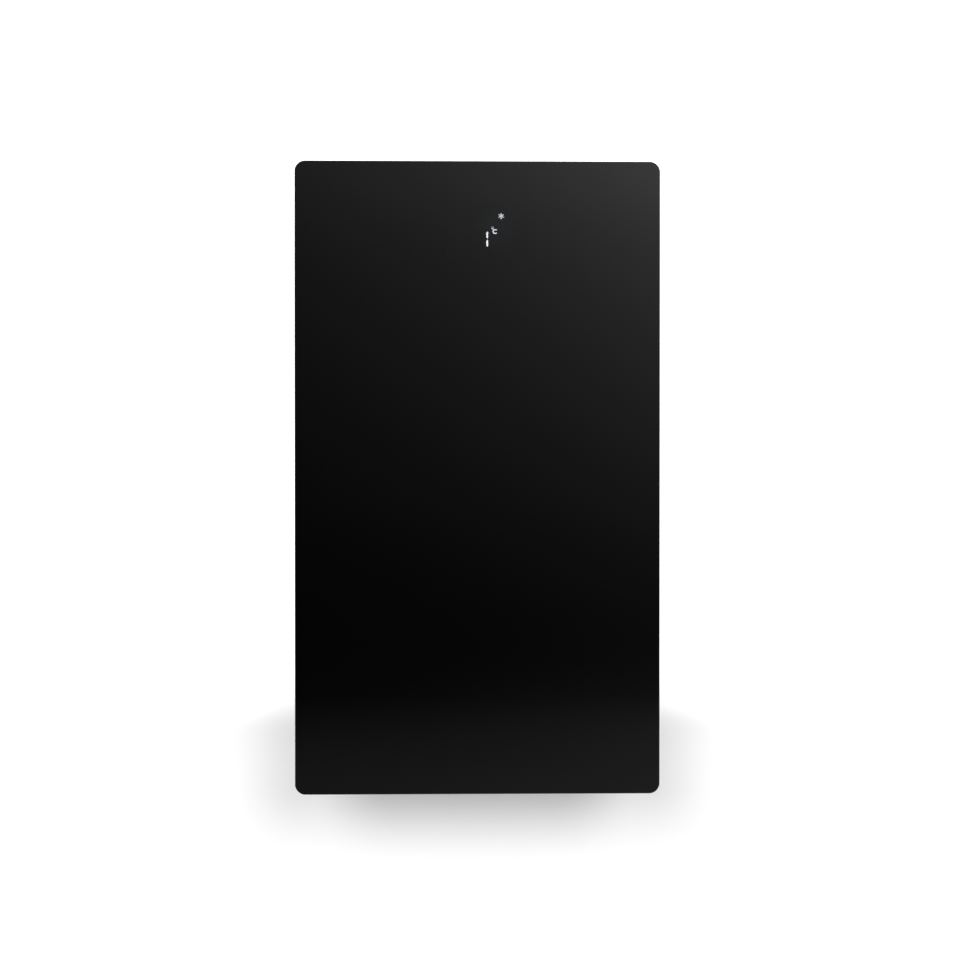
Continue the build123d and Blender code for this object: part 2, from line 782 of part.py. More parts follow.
def make_studs():
    boss_end = cover_front_y - socket_flange
    studs = []
    for x, z in stud_places():
        reach = boss_end + stud_ball_reach
        body = rod_y(stud_neck_radius, x, reach, 2 * stud_ball_reach, z)
        studs.append(body + Pos(x, reach, z) * Sphere(stud_ball_radius))
    keep("panel_studs", studs)
    sockets = []
    for x, z in stud_places():
        body = rod_y(socket_flange_radius, x, cover_front_y, socket_flange, z)
        body += rod_y(socket_sleeve_radius, x, boss_end + socket_reach, socket_reach, z)
        sockets.append(body - rod_y(stud_ball_radius + stud_fit, x, boss_end + socket_reach + 1,
                                    socket_reach + 2, z))
    keep("stud_sockets", sockets)


# ---- Display ----
def bar(length, width, x, z, turn=0.0):
    """A seven-segment bar with pointed ends, lying along X before it is turned, and its middle."""
    half = length / 2
    tip = width / 2
    points = [(-half, 0), (tip - half, tip), (half - tip, tip), (half, 0), (half - tip, -tip),
              (tip - half, -tip)]
    return Pos(x, 0, z) * Rot(0, turn, 0) * (Plane.XZ * Polygon(*points, align=None)), (x, z)


def digit_marks(x_mid, grow):
    """The seven bars of one digit, named a to g."""
    width = segment_width + 2 * grow
    longer = 2 * grow * 2 ** 0.5
    dx = (digit_width - segment_width) / 2
    dz = (digit_height - segment_width) / 2
    across = 2 * dx - segment_gap + longer
    along = dz - segment_gap + longer
    return {
        "a": bar(across, width, x_mid, digit_mid + dz),
        "b": bar(along, width, x_mid + dx, digit_mid + dz / 2, 90),
        "c": bar(along, width, x_mid + dx, digit_mid - dz / 2, 90),
        "d": bar(across, width, x_mid, digit_mid - dz),
        "e": bar(along, width, x_mid - dx, digit_mid - dz / 2, 90),
        "f": bar(along, width, x_mid - dx, digit_mid + dz / 2, 90),
        "g": bar(across, width, x_mid, digit_mid),
    }


def letter_mark(grow):
    """The open letter C of the unit, and the middle of its stroke."""
    x, z = unit_x, display_mid + unit_rise
    outer = unit_radius + grow
    inner = unit_radius - unit_stroke - grow
    letter = Circle(outer) - Circle(inner) - Pos(unit_radius, 0) * Rectangle(2 * unit_radius,
                                                                             unit_mouth - 2 * grow)
    return Pos(x, 0, z) * (Plane.XZ * letter), (x - unit_radius + unit_stroke / 2, z)


def degree_mark(grow, hollow):
    x, z = unit_x + degree_shift_x, display_mid + unit_rise + degree_shift_z
    shape = Circle(degree_radius + grow)
    if hollow:
        shape -= Circle(degree_radius - degree_stroke)
    return Pos(x, 0, z) * (Plane.XZ * shape), (x, z)


def flake_mark(grow):
    """Six arms with round tips and a ring of knots, crossing at the middle."""
    x, z = flake_x, display_mid + flake_rise
    shape = Circle(flake_arm + grow)
    for i in range(3):
        shape += Rot(0, 0, 60 * i + 30) * Rectangle(2 * (flake_radius - flake_tip_radius),
                                                    flake_arm + 2 * grow)
    for i in range(6):
        angle = radians(60 * i + 30)
        for reach, size in ((flake_radius - flake_tip_radius, flake_tip_radius),
                            (flake_knot, flake_knot_radius)):
            shape += Pos(reach * cos(angle), reach * sin(angle)) * Circle(size + grow)
    return Pos(x, 0, z) * (Plane.XZ * shape), (x, z)


def charge_mark(grow):
    """An unlit charging sign in the other upper corner."""
    x, z = -flake_x, display_mid + flake_rise
    h = charge_half
    points = [(0.3 * h, h), (-0.75 * h, -0.2 * h), (-0.05 * h, -0.2 * h),
              (-0.3 * h, -h), (0.75 * h, 0.2 * h), (0.05 * h, 0.2 * h)]
    shape = Polygon(*points, align=None)
    if grow:
        shape = offset(shape, grow, kind=Kind.INTERSECTION)
    return Pos(x, 0, z) * (Plane.XZ * shape), (x, z)


def lit_marks(grow, hollow=False):
    """The figure 1, the unit and the cold sign."""
    right = digit_marks(digit_x, grow)
    return [right["b"], right["c"], letter_mark(grow), degree_mark(grow, hollow), flake_mark(grow)]


def unlit_marks(grow):
    right = digit_marks(digit_x, grow)
    return list(digit_marks(-digit_x, grow).values()) + [right[name] for name in "adefg"] + [charge_mark(grow)]


def prisms(marks, y_back, depth):
    """Each mark's outline, drawn out from y_back forwards by depth."""
    return [Pos(0, y_back, 0) * extrude(mark, depth, dir=(0, -1, 0)) for mark, spot in marks]


def make_display():
    half_x, half_z = mask_width / 2, mask_height / 2
    mask = block(-half_x, half_x, mask_front_y, display_board_front_y, display_mid - half_z,
                 display_mid + half_z)
    depth = display_board_front_y - mask_front_y
    wells = prisms(lit_marks(pipe_fit) + unlit_marks(pipe_fit), display_board_front_y + 1, depth + 2)
    keep("display_mask", [cut(mask, wells)])
    pipe_back = display_board_front_y - led_height
    keep("display_lit", prisms(lit_marks(0), pipe_back, pipe_back - mask_front_y))
    keep("display_unlit", prisms(unlit_marks(0), pipe_back, pipe_back - mask_front_y))
    board = block(-half_x - display_board_margin, half_x + display_board_margin, display_board_front_y,
                  display_board_back_y, display_mid - half_z - display_board_margin,
                  display_mid + half_z + display_board_margin)
    keep("display_board", [board] + [led_chip(*spot) for mark, spot in lit_marks(0) + unlit_marks(0)])


def led_chip(x, z):
    half = led_size / 2
    return block(x - half, x + half, display_board_front_y - led_height, display_board_front_y, z - half,
                 z + half)


def display_standoffs():
    half_x = mask_width / 2 - display_standoff_inset
    half_z = mask_height / 2 - display_standoff_inset
    return [rod_y(display_standoff_radius, sx * half_x, cover_front_y, display_standoff,
                  display_mid + sz * half_z) for sx in (-1, 1) for sz in (-1, 1)]


# ---- Cell modules ----
def cell_places():
    pitch = cell_thickness + spacer_thickness
    return spread(cells_per_module, pitch * (cells_per_module - 1))


def one_cell(x, z):
    half = cell_thickness / 2
    body = block(x - half, x + half, cell_front_y, cell_back_y, z, z + cell_height)
    body = fillet(body.edges().filter_by(Axis.Z), cell_edge_radius)
    for side in (-1, 1):
        body += rod_z(terminal_radius, x, cell_middle_y + side * terminal_offset, z + cell_height,
                      z + cell_height + terminal_height)
    top = z + cell_height
    vent = Pos(x, cell_middle_y, top - cell_vent_depth) * extrude(
        Rot(0, 0, 90) * SlotOverall(cell_vent_length, cell_vent_width), cell_vent_depth + 1)
    return body - vent


def make_cells():
    keep("cells", [one_cell(x, z) for z in module_floors for x in cell_places()])
    sheets = []
    pitch = cell_thickness + spacer_thickness
    for z in module_floors:
        for i in range(cells_per_module + 1):
            x = (i - cells_per_module / 2) * pitch
            sheets.append(block(x - spacer_thickness / 2, x + spacer_thickness / 2,
                                cell_front_y + spacer_inset,
                                cell_back_y - spacer_inset, z, z + cell_height - spacer_inset))
    keep("cell_spacers", sheets)


def foot_screw_places():
    x = module_side + end_foot / 2
    return [(sx * x, cell_middle_y + sy * foot_offset) for sx in (-1, 1) for sy in (-1, 1)]


def make_end_plates():
    plates = []
    for z in module_floors:
        for side in (-1, 1):
            a, b = sorted((side * (module_side - end_plate), side * module_side))
            body = block(a, b, cell_front_y, cell_back_y, z, z + cell_height - end_plate_drop)
            c, d = sorted((side * (module_side - foot_overlap), side * (module_side + end_foot)))
            for sy in (-1, 1):
                y = cell_middle_y + sy * foot_offset
                body += block(c, d, y - end_foot_width / 2, y + end_foot_width / 2, z, z + end_foot_height)
            holes = [rod_z(foot_screw_radius + screw_slack, x, y, z - 1, z + end_foot_height + 1)
                     for x, y in foot_screw_places()]
            for level in band_levels(z):
                for y in (cell_front_y + band_tab / 2, cell_back_y - band_tab / 2):
                    holes.append(rod_x(band_screw_radius + thread_slack, side * module_side - band_hole_depth,
                                       side * module_side + band_hole_depth, y, level))
            plates.append(cut(body, holes))
    keep("end_plates", plates)


def band_levels(z):
    return (z + band_offset, z + cell_height - band_offset)


def make_bands():
    bands, screws = [], []
    end = module_side + band_thickness
    for z in module_floors:
        for level in band_levels(z):
            low, high = level - band_height / 2, level + band_height / 2
            for y, way in ((cell_front_y, -1), (cell_back_y, 1)):
                y0, y1 = sorted((y, y + way * band_thickness))
                body = block(-end, end, y0, y1, low, high)
                t0, t1 = sorted((y + way * band_thickness, y - way * band_tab))
                for side in (-1, 1):
                    a, b = sorted((side * module_side, side * end))
                    tab = block(a, b, t0, t1, low, high)
                    body += tab
                    screw_y = y - way * band_tab / 2
                    hole = rod_x(band_screw_radius + screw_slack, a - 1, b + 1, screw_y, level)
                    body -= hole
                    h0, h1 = sorted((side * end, side * (end + band_head_height)))
                    s0, s1 = sorted((side * (module_side - band_screw_depth), side * end))
                    screws.append(rod_x(band_screw_head, h0, h1, screw_y, level)
                                  + rod_x(band_screw_radius, s0, s1, screw_y, level))
                bands.append(body)
    keep("module_bands", bands)
    keep("module_bolts", screws)


def make_shelves():
    shelves, screws, nuts = [], [], []
    front = cell_front_y - band_thickness - shelf_gap
    for z in module_floors:
        body = block(-shelf_side, shelf_side, front - shelf_sheet, back_inside_y, z - shelf_sheet, z)
        body += block(-shelf_side, shelf_side, back_inside_y - shelf_sheet, back_inside_y, z - shelf_flange, z)
        body += block(-module_side, module_side, front - shelf_sheet, front, z - shelf_sheet, z + shelf_lip)
        for side in (-1, 1):
            a, b = sorted((side * (module_side + wire_slot_gap), side * (shelf_side + 1)))
            body -= block(a, b, cell_middle_y - 2 * sense_plug_spread, cell_middle_y + 2 * sense_plug_spread,
                          z - shelf_sheet - 1, z + 1)
        for x, y in foot_screw_places():
            body -= rod_z(foot_screw_radius + screw_slack, x, y, z - shelf_sheet - 1, z + 1)
            top = z + end_foot_height
            screws.append(rod_z(foot_screw_head, x, y, top, top + foot_screw_head)
                          + rod_z(foot_screw_radius, x, y, z - shelf_sheet - foot_nut - foot_screw_tail, top))
            nuts.append(hex_z(foot_nut_flats, x, y, z - shelf_sheet - foot_nut, z - shelf_sheet)
                        - rod_z(foot_screw_radius + thread_slack, x, y, z - shelf_sheet - foot_nut - 1, z))
        shelves.append(body)
    keep("module_shelves", shelves)
    keep("module_bolts", screws + nuts)


def make_busbars():
    """Links between neighbouring cells and the end tabs of each module."""
    places = cell_places()
    bars, channels = [], []
    for index, z in enumerate(module_floors):
        first = 1 if index == 0 else -1
        z0, z1 = z + tab_z, z + tab_z + busbar_thickness
        for i in range(cells_per_module - 1):
            y = cell_middle_y - first * (-1) ** i * terminal_offset
            bars.append(block(places[i] - link_overlap, places[i + 1] + link_overlap,
                              y - busbar_width / 2, y + busbar_width / 2, z0, z1))
        y = cell_middle_y + first * terminal_offset
        for side in (-1, 1):
            a, b = sorted((side * (places[-1] - link_overlap), side * (module_side + post_length)))
            tab = block(a, b, y - busbar_width / 2, y + busbar_width / 2, z0, z1)
            bars.append(tab - rod_z(stud_radius + screw_slack, side * post_x, y, z0 - 1, z1 + 1))
        top = z + cell_height + channel_height
        half = module_length / 2 - channel_inset
        y0, y1 = cell_front_y + channel_inset, cell_back_y - channel_inset
        body = block(-half, half, y0, y1, z + cell_height, top)
        body -= block(-half - 1, half + 1, y0 + channel_sheet, y1 - channel_sheet,
                      z + cell_height - 1, top - channel_sheet)
        channels.append(body)
    keep("busbars", bars)
    keep("busbar_channels", channels)


def terminal_places():
    """Each end tab: side, y, and the height of the tab's top."""
    places = []
    for index, z in enumerate(module_floors):
        y = cell_middle_y + (1 if index == 0 else -1) * terminal_offset
        for side in (-1, 1):
            places.append((side, y, z + tab_z + busbar_thickness))
    return places


def lug_down(side, y, z):
    """A cable lug on an end tab, its barrel pointing down."""
    x = side * post_x
    half = lug_half_width
    a, b = sorted((x - side * half, side * lug_x))
    body = block(a, b, y - half, y + half, z, z + lug_thickness)
    body += rod_z(half, side * lug_x, y, z, z + lug_thickness)
    body -= rod_z(stud_radius + screw_slack, x, y, z - 1, z + lug_thickness + 1)
    body += rod_z(lug_barrel_radius, side * lug_x, y, z - lug_barrel_length, z)
    return body - rod_z(power_cable_radius + thread_slack, side * lug_x, y, z - lug_barrel_length - 1,
                        z - lug_bore_stop)


def make_terminals():
    posts, studs, lugs = [], [], []
    for side, y, top in terminal_places():
        under = top - busbar_thickness
        a, b = sorted((side * module_side, side * (module_side + post_length)))
        post = block(a, b, y - post_width / 2, y + post_width / 2, under - post_height, under)
        posts.append(post - rod_z(stud_radius + thread_slack, side * post_x, y, under - post_hole_depth,
                                  under + 1))
        seat = top + lug_thickness
        studs.append(rod_z(stud_radius, side * post_x, y, under - stud_in_post,
                           seat + nut_height + stud_past_nut)
                     + hex_z(nut_flats, side * post_x, y, seat, seat + nut_height))
        lugs.append(lug_down(side, y, top))
    keep("stud_holders", posts)
    keep("terminal_studs", studs)
    keep("cable_lugs", lugs)


# ---- Cables held inside the housing ----
def cable(radius, points):
    """A round cable along straight runs joined by arcs as large as the runs allow."""
    corners = [Vector(*p) for p in points]
    radii = []
    for a, b, c in zip(corners, corners[1:], corners[2:]):
        turn = radians((b - a).get_angle(c - b))
        radii.append(0.45 * min((b - a).length, (c - b).length) / tan(turn / 2))
    path = FilletPolyline(*corners, radius=radii)
    start = Plane(origin=corners[0], z_dir=(corners[1] - corners[0]).normalized())
    return sweep(start * Circle(radius), path)


def holder_lug(x, z):
    """A lug on a holder's upper stud, its barrel pointing up."""
    back = post_face_y - blade_thickness
    half = lug_half_width
    start = z + lug_barrel_start
    body = block(x - half, x + half, back - lug_thickness, back, z - half, z + lug_tongue)
    centre = back - lug_thickness - lug_barrel_radius + lug_barrel_sink
    body += rod_z(lug_barrel_radius, x, centre, start, start + lug_barrel_length)
    body -= rod_y(stud_radius + screw_slack, x, back + 1, lug_thickness + 2, z)
    return body - rod_z(power_cable_radius + thread_slack, x, centre, start + lug_bore_stop,
                        start + lug_barrel_length + 1)


def make_cables():
    top_upper, top_lower = (z + tab_z + busbar_thickness - lug_bore_stop for z in module_floors)
    back = cell_middle_y + terminal_offset
    front = cell_middle_y - terminal_offset
    lug_y = post_face_y - blade_thickness - lug_thickness - lug_barrel_radius + lug_barrel_sink
    end_z = holder_stud_up + lug_barrel_start + lug_bore_stop
    under = lower_cell_z - shelf_sheet - cable_drop
    # Upper module's left end to the lower module's left end, looping below the lower lug.
    dip = top_lower - loop_drop
    middle = (back + front) / 2
    link = cable(power_cable_radius, [(-lug_x, back, top_upper), (-lug_x, back, dip),
                                      (-lug_x, middle, dip - (back - middle)), (-lug_x, front, dip),
                                      (-lug_x, front, top_lower)])
    plus = cable(power_cable_radius, [(lug_x, back, top_upper), (lug_x, back, under + 4),
                                      (fuse_x, lug_y, end_z + 46), (fuse_x, lug_y, end_z)])
    minus = cable(power_cable_radius, [(lug_x, front, top_lower), (lug_x, front, under),
                                       (shunt_x + 40, lug_y - 30, under - 6), (shunt_x, lug_y, end_z + 44),
                                       (shunt_x, lug_y, end_z)])
    keep("power_cables", [link, plus, minus])


def make_sense_wiring():
    """Each module's cell-voltage lead, from a plug on its end plate to the controller board."""
    for index, z in enumerate(module_floors):
        y = cell_middle_y + (-1) ** index * sense_plug_spread
        x = -module_side - sense_plug_width / 2
        top = z + cell_height / 2
        plug = block(x - sense_plug_width / 2, x + sense_plug_width / 2, y - sense_plug_depth / 2,
                     y + sense_plug_depth / 2, top - sense_plug_height / 2, top + sense_plug_height / 2)
        start = top - sense_plug_height / 2
        wire = cable(sense_cable_radius, [(x, y, start), (x, y, lower_cell_z - cable_drop),
                                          (plug_places[index], plug_middle_y, plug_top + cable_drop),
                                          (plug_places[index], plug_middle_y, plug_top)])
        keep("signal_cables", [plug, wire])


def make_display_ribbon():
    """A flat ribbon from the display board, down behind the inner cover, to the controller board."""
    half = ribbon_thickness / 2
    board_y = display_board_back_y + half
    lane_y = cover_back_y + half
    enter_z, leave_z = ribbon_slot_z - 2, ribbon_slot_z - 6
    turn_z = lower_cell_z - shelf_sheet - cable_drop
    points = [(ribbon_x, board_y, enter_z + 8), (ribbon_x, board_y, enter_z), (ribbon_x, lane_y, leave_z),
              (ribbon_x, lane_y, turn_z), (ribbon_x, plug_middle_y, plug_top + 26), (ribbon_x,
                                                                                     plug_middle_y, plug_top)]
    path = FilletPolyline(*points, radius=[ribbon_bend, ribbon_bend, 14, 8])
    start = Plane(origin=points[0], x_dir=(1, 0, 0), z_dir=(0, 0, -1))
    keep("signal_cables", [sweep(start * Rectangle(ribbon_width, ribbon_thickness), path)])


# ---- Equipment plate with controller board, fuse, shunt and outputs ----
def bms_corners():
    x0, x1 = bms_left + standoff_inset, bms_left + bms_width - standoff_inset
    z1 = plate_top - bms_margin - standoff_inset
    z0 = z1 - bms_height + 2 * standoff_inset
    return [(x, z) for x in (x0, x1) for z in (z0, z1)]


def make_plate_and_board():
    keep("equipment_plate", [block(-plate_half_width, plate_half_width, plate_front_y, back_inside_y,
                                   plate_bottom, plate_top)])
    keep("board_standoffs", [rod_y(standoff_radius, x, plate_front_y, standoff_height, z)
                             for x, z in bms_corners()] + display_standoffs())
    z1 = plate_top - bms_margin
    board = block(bms_left, bms_left + bms_width, board_front_y, board_back_y, z1 - bms_height, z1)
    x_mid = bms_left + bms_width / 2
    row_length = bms_width - 2 * sink_side_margin - mosfet_width
    row = spread(int(row_length / mosfet_pitch) + 1, row_length)
    z_mid = z1 - mosfet_row_drop
    keep("bms_board", [block(x_mid + x - mosfet_width / 2, x_mid + x + mosfet_width / 2,
                             board_front_y - mosfet_depth, board_front_y, z_mid - mosfet_height / 2,
                             z_mid + mosfet_height / 2) for x in row])
    sink_y = board_front_y - mosfet_depth
    half = bms_width / 2 - sink_side_margin
    sink = block(x_mid - half, x_mid + half, sink_y - sink_base, sink_y, z_mid - sink_height / 2,
                 z_mid + sink_height / 2)
    fins = int((2 * half - sink_fin) / sink_fin_pitch) + 1
    for x in spread(fins, 2 * half - sink_fin):
        sink += block(x_mid + x - sink_fin / 2, x_mid + x + sink_fin / 2, sink_y - sink_base - sink_fin_height,
                      sink_y - sink_base + fin_root, z_mid - sink_height / 2, z_mid + sink_height / 2)
    keep("bms_heatsink", [sink])
    plugs = [block(x - plug_width / 2, x + plug_width / 2, board_front_y - plug_depth, board_front_y,
                   plug_top - plug_height, plug_top) for x in plug_places + (ribbon_x,)]
    keep("bms_board", [board] + plugs)


def holder(x):
    """An insulating base with two raised posts."""
    half = holder_width / 2
    body = block(x - half, x + half, plate_front_y - holder_base, plate_front_y, holder_bottom, holder_top)
    for z0 in (holder_bottom, holder_top - holder_post_height):
        body += block(x - half, x + half, post_face_y, plate_front_y - 1, z0, z0 + holder_post_height)
    for z in (holder_stud_up, holder_stud_down):
        body -= rod_y(stud_radius + thread_slack, x, post_face_y + stud_depth + 1, stud_depth + 2, z)
    return body


def stud_and_nut(x, z, stack):
    """A stud set in a holder with its nut on a stack of tongues."""
    seat = post_face_y - stack
    return (rod_y(stud_radius, x, post_face_y + stud_depth, stud_depth + stack + nut_height + stud_past_nut, z)
            + hex_y(nut_flats, x, seat, nut_height, z))


def make_fuse_and_shunt():
    keep("stud_holders", [holder(fuse_x), holder(shunt_x)])
    mid = (holder_bottom + holder_top) / 2
    blade_y = post_face_y - blade_thickness
    blades = block(fuse_x - blade_width / 2, fuse_x + blade_width / 2, blade_y, post_face_y,
                   holder_bottom, holder_top)
    fuse = blades + rod_z(fuse_radius, fuse_x, blade_y + blade_thickness / 2, mid - fuse_length / 2,
                          mid + fuse_length / 2)
    holes = [rod_y(stud_radius + screw_slack, x, post_face_y + 1, blade_thickness + 2, z)
             for x in (fuse_x, shunt_x) for z in (holder_stud_up, holder_stud_down)]
    keep("main_fuse", [cut(fuse, holes[:2])])
    ends = [block(shunt_x - blade_width / 2, shunt_x + blade_width / 2, blade_y, post_face_y, z0,
                  z0 + holder_post_height) for z0 in (holder_bottom, holder_top - holder_post_height)]
    shunt = ends[0] + ends[1]
    for x in spread(shunt_strips, blade_width - 2 * shunt_strip_margin):
        shunt += block(shunt_x + x - shunt_strip / 2, shunt_x + x + shunt_strip / 2, blade_y, post_face_y,
                       holder_bottom + holder_post_height - 1, holder_top - holder_post_height + 1)
    keep("current_shunt", [cut(shunt, holes[2:])])
    up = 2 * blade_thickness
    keep("cable_lugs", [holder_lug(x, holder_stud_up) for x in (fuse_x, shunt_x)])
    keep("terminal_studs", [stud_and_nut(x, z, up) for x in (fuse_x, shunt_x)
                            for z in (holder_stud_up, holder_stud_down)])


def strap(x0, x1, z0, z1, layer):
    """A flat copper strap lying on the holders' faces, one or two layers up."""
    back = post_face_y - (layer - 1) * blade_thickness
    return block(x0, x1, back - blade_thickness, back, z0, z1)


def isolator_strap(start, x_leg, start_z, layer, rise):
    """A strap along the holders, down a leg, back over the isolator and down onto its top."""
    half = strap_width / 2
    face = post_face_y - (layer - 1) * blade_thickness
    top = isolator_top + rise
    body = strap(min(start, x_leg) - half, max(start, x_leg) + half, start_z - half, start_z + half, layer)
    body += strap(x_leg - half, x_leg + half, top, start_z, layer)
    body += block(x_leg - half, x_leg + half, isolator_back_y - strap_seat, face, top, top + blade_thickness)
    body += block(x_leg - half, x_leg + half, isolator_back_y - strap_seat, isolator_back_y - strap_seat
                  + blade_thickness, isolator_top, top + blade_thickness)
    return body - rod_y(stud_radius + screw_slack, start, post_face_y + 1, 3 * blade_thickness, start_z)


def make_outputs():
    """The output block's two studs stand above the glands, and flat straps lead to them."""
    x0, x1 = output_minus_x - output_margin, output_plus_x + output_margin
    half = output_height / 2
    body = block(x0, x1, post_face_y, plate_front_y, output_z - half, output_z + half)
    for x in (output_minus_x, output_plus_x):
        body -= rod_y(stud_radius + thread_slack, x, post_face_y + stud_depth + 1, stud_depth + 2, output_z)
    keep("stud_holders", [body])
    half = strap_width / 2
    low = holder_stud_down
    bars = []
    for x, z, layer in ((shunt_x, low, 2), (output_minus_x, output_z, 1)):
        bar_body = strap(bms_post_x - half, x + half, z - half, z + half, layer)
        bar_body += rod_y(post_radius, bms_post_x, board_front_y, board_front_y - post_face_y
                          + (layer - 1) * blade_thickness, z)
        bars.append(bar_body - rod_y(stud_radius + screw_slack, x, post_face_y + 1, 3 * blade_thickness, z))
    bars.append(isolator_strap(fuse_x, isolator_x + isolator_width / 4, low, 2, strap_rise * 2))
    bars.append(isolator_strap(output_plus_x, isolator_x - isolator_width / 4, output_z, 1, strap_rise))
    keep("copper_straps", bars)
    keep("terminal_studs",
         [stud_and_nut(x, output_z, blade_thickness) for x in (output_minus_x, output_plus_x)])


# ---- Bottom face ----
def make_isolator():
    x0, x1 = isolator_x - isolator_width / 2, isolator_x + isolator_width / 2
    y0, y1 = middle_y - isolator_depth / 2, middle_y + isolator_depth / 2
    body = block(x0, x1, y0, y1, floor_z, isolator_top)
    body = fillet(body.edges().filter_by(Axis.Z), moulding_radius)
    body -= rod_z(shaft_radius + shaft_fit, isolator_x, middle_y, floor_z - 1,
                  floor_z + shaft_depth + shaft_end_gap)
    keep("isolator_body", [body])
    base = housing_bottom - escutcheon
    ring_plate = rod_z(escutcheon_radius, isolator_x, middle_y, base, housing_bottom)
    ring_plate = chamfer(ring_plate.edges().filter_by_position(Axis.Z, base - 0.01, base + 0.01),
                         escutcheon_bevel)
    keep("isolator_escutcheon", [ring_plate - rod_z(shaft_radius + shaft_fit, isolator_x, middle_y, base - 1,
                                                    housing_bottom + 1)])
    top = base - handle_gap
    socket_z = top - shaft_in_handle
    keep("isolator_shaft", [rod_z(shaft_radius, isolator_x, middle_y, socket_z, floor_z + shaft_depth)])
    disc = rod_z(handle_radius, isolator_x, middle_y, top - handle_base, top)
    disc_low = top - handle_base
    disc = fillet(disc.edges().filter_by_position(Axis.Z, disc_low - 0.01, disc_low + 0.01),
                  handle_edge_radius)
    low = disc_low - handle_grip_height
    grip_half = handle_radius - handle_grip_inset
    grip = block(isolator_x - grip_half, isolator_x + grip_half, middle_y - handle_grip_width / 2,
                 middle_y + handle_grip_width / 2, low, disc_low + 1)
    grip = fillet(grip.edges().filter_by(Axis.Z), handle_grip_width * handle_grip_rounding)
    grip = fillet(grip.edges().filter_by_position(Axis.Z, low - 0.01, low + 0.01), handle_edge_radius)
    socket = rod_z(shaft_radius + thread_slack, isolator_x, middle_y, socket_z, top + 1)
    keep("isolator_handle", [disc + grip - socket])


def make_glands():
    bodies, nuts, seals, locknuts = [], [], [], []
    for x in (output_minus_x, output_plus_x):
        hex_low = housing_bottom - gland_hex_height
        thread_low = hex_low - gland_thread_out
        thread = gland_radius - gland_thread_step
        body = hex_z(gland_hex, x, middle_y, hex_low, housing_bottom)
        body += rod_z(gland_radius, x, middle_y, housing_bottom, floor_z + gland_thread_in)
        body += rod_z(thread, x, middle_y, thread_low, hex_low)
        bore = gland_bore_radius + gland_seal_wall
        bodies.append(body - rod_z(bore + thread_slack, x, middle_y, thread_low - 1,
                                   floor_z + gland_thread_in + 1))
        nut_low = hex_low - gland_nut_height
        dome = rod_z(gland_hex / 2 - gland_nut_inset, x, middle_y, nut_low, hex_low)
        dome = chamfer(dome.edges().filter_by_position(Axis.Z, nut_low - 0.01, nut_low + 0.01),
                       gland_nut_taper)
        dome = dome & hex_z(gland_nut_hex, x, middle_y, nut_low, hex_low) + rod_z(
            gland_hex / 2 - 2 * gland_nut_inset, x, middle_y, nut_low, nut_low + gland_nut_skirt)
        dome -= rod_z(thread + thread_slack, x, middle_y, thread_low - thread_end_gap, hex_low + 1)
        nuts.append(dome - rod_z(bore + thread_slack, x, middle_y, nut_low - 1, hex_low))
        seal_top = hex_low + gland_seal_rise
        seals.append(rod_z(bore, x, middle_y, nut_low + gland_seal_recess, seal_top)
                     - rod_z(gland_bore_radius, x, middle_y, nut_low - 1, seal_top + 1))
        locknuts.append(hex_z(locknut_hex, x, middle_y, floor_z, floor_z + locknut_height)
                        - rod_z(gland_radius + thread_slack, x, middle_y, floor_z - 1,
                                floor_z + locknut_height + 1))
    keep("gland_bodies", bodies)
    keep("gland_nuts", nuts)
    keep("gland_seals", seals)
    keep("housing_nuts", locknuts)


def make_button():
    x, y = button_x, middle_y
    bezel_low = housing_bottom - button_bezel
    top = housing_bottom + button_body_length
    body = rod_z(button_bezel_radius, x, y, bezel_low, housing_bottom)
    body = chamfer(body.edges().filter_by_position(Axis.Z, bezel_low - 0.01, bezel_low + 0.01), button_edge)
    body += rod_z(button_body_radius, x, y, housing_bottom, top)
    body -= rod_z(button_cap_radius + button_cap_fit, x, y, bezel_low - 1, bezel_low + button_shoulder)
    bore = button_body_radius - button_wall
    shoulder_z = bezel_low + button_shoulder
    body -= rod_z(bore, x, y, shoulder_z, top - button_wall)
    keep("button_body", [body])
    collar = bore - button_cap_fit
    cap_low = bezel_low - button_proud
    collar_z = shoulder_z + button_collar_gap
    cap = rod_z(button_cap_radius, x, y, cap_low, collar_z)
    cap = fillet(cap.edges().filter_by_position(Axis.Z, cap_low - 0.01, cap_low + 0.01), button_edge)
    cap += rod_z(collar, x, y, collar_z, collar_z + button_collar)
    keep("power_button", [cap])
    spring_low = collar_z + button_collar + spring_wire / 2
    spring_high = top - button_wall - spring_wire / 2
    path = Helix(pitch=(spring_high - spring_low) / spring_turns, height=spring_high - spring_low,
                 radius=spring_radius)
    coil = sweep(Plane(origin=path @ 0, z_dir=path % 0) * Circle(spring_wire / 2), path)
    keep("button_spring", [Pos(x, y, spring_low) * coil])
    nut = hex_z(2 * (button_body_radius + button_nut_margin), x, y, floor_z, floor_z + thin_nut)
    keep("housing_nuts", [nut - rod_z(button_body_radius + thread_slack, x, y, floor_z - 1,
                                      floor_z + thin_nut + 1)])


def jack_places():
    return [sockets_x + s * jack_pitch / 2 for s in (-1, 1)]


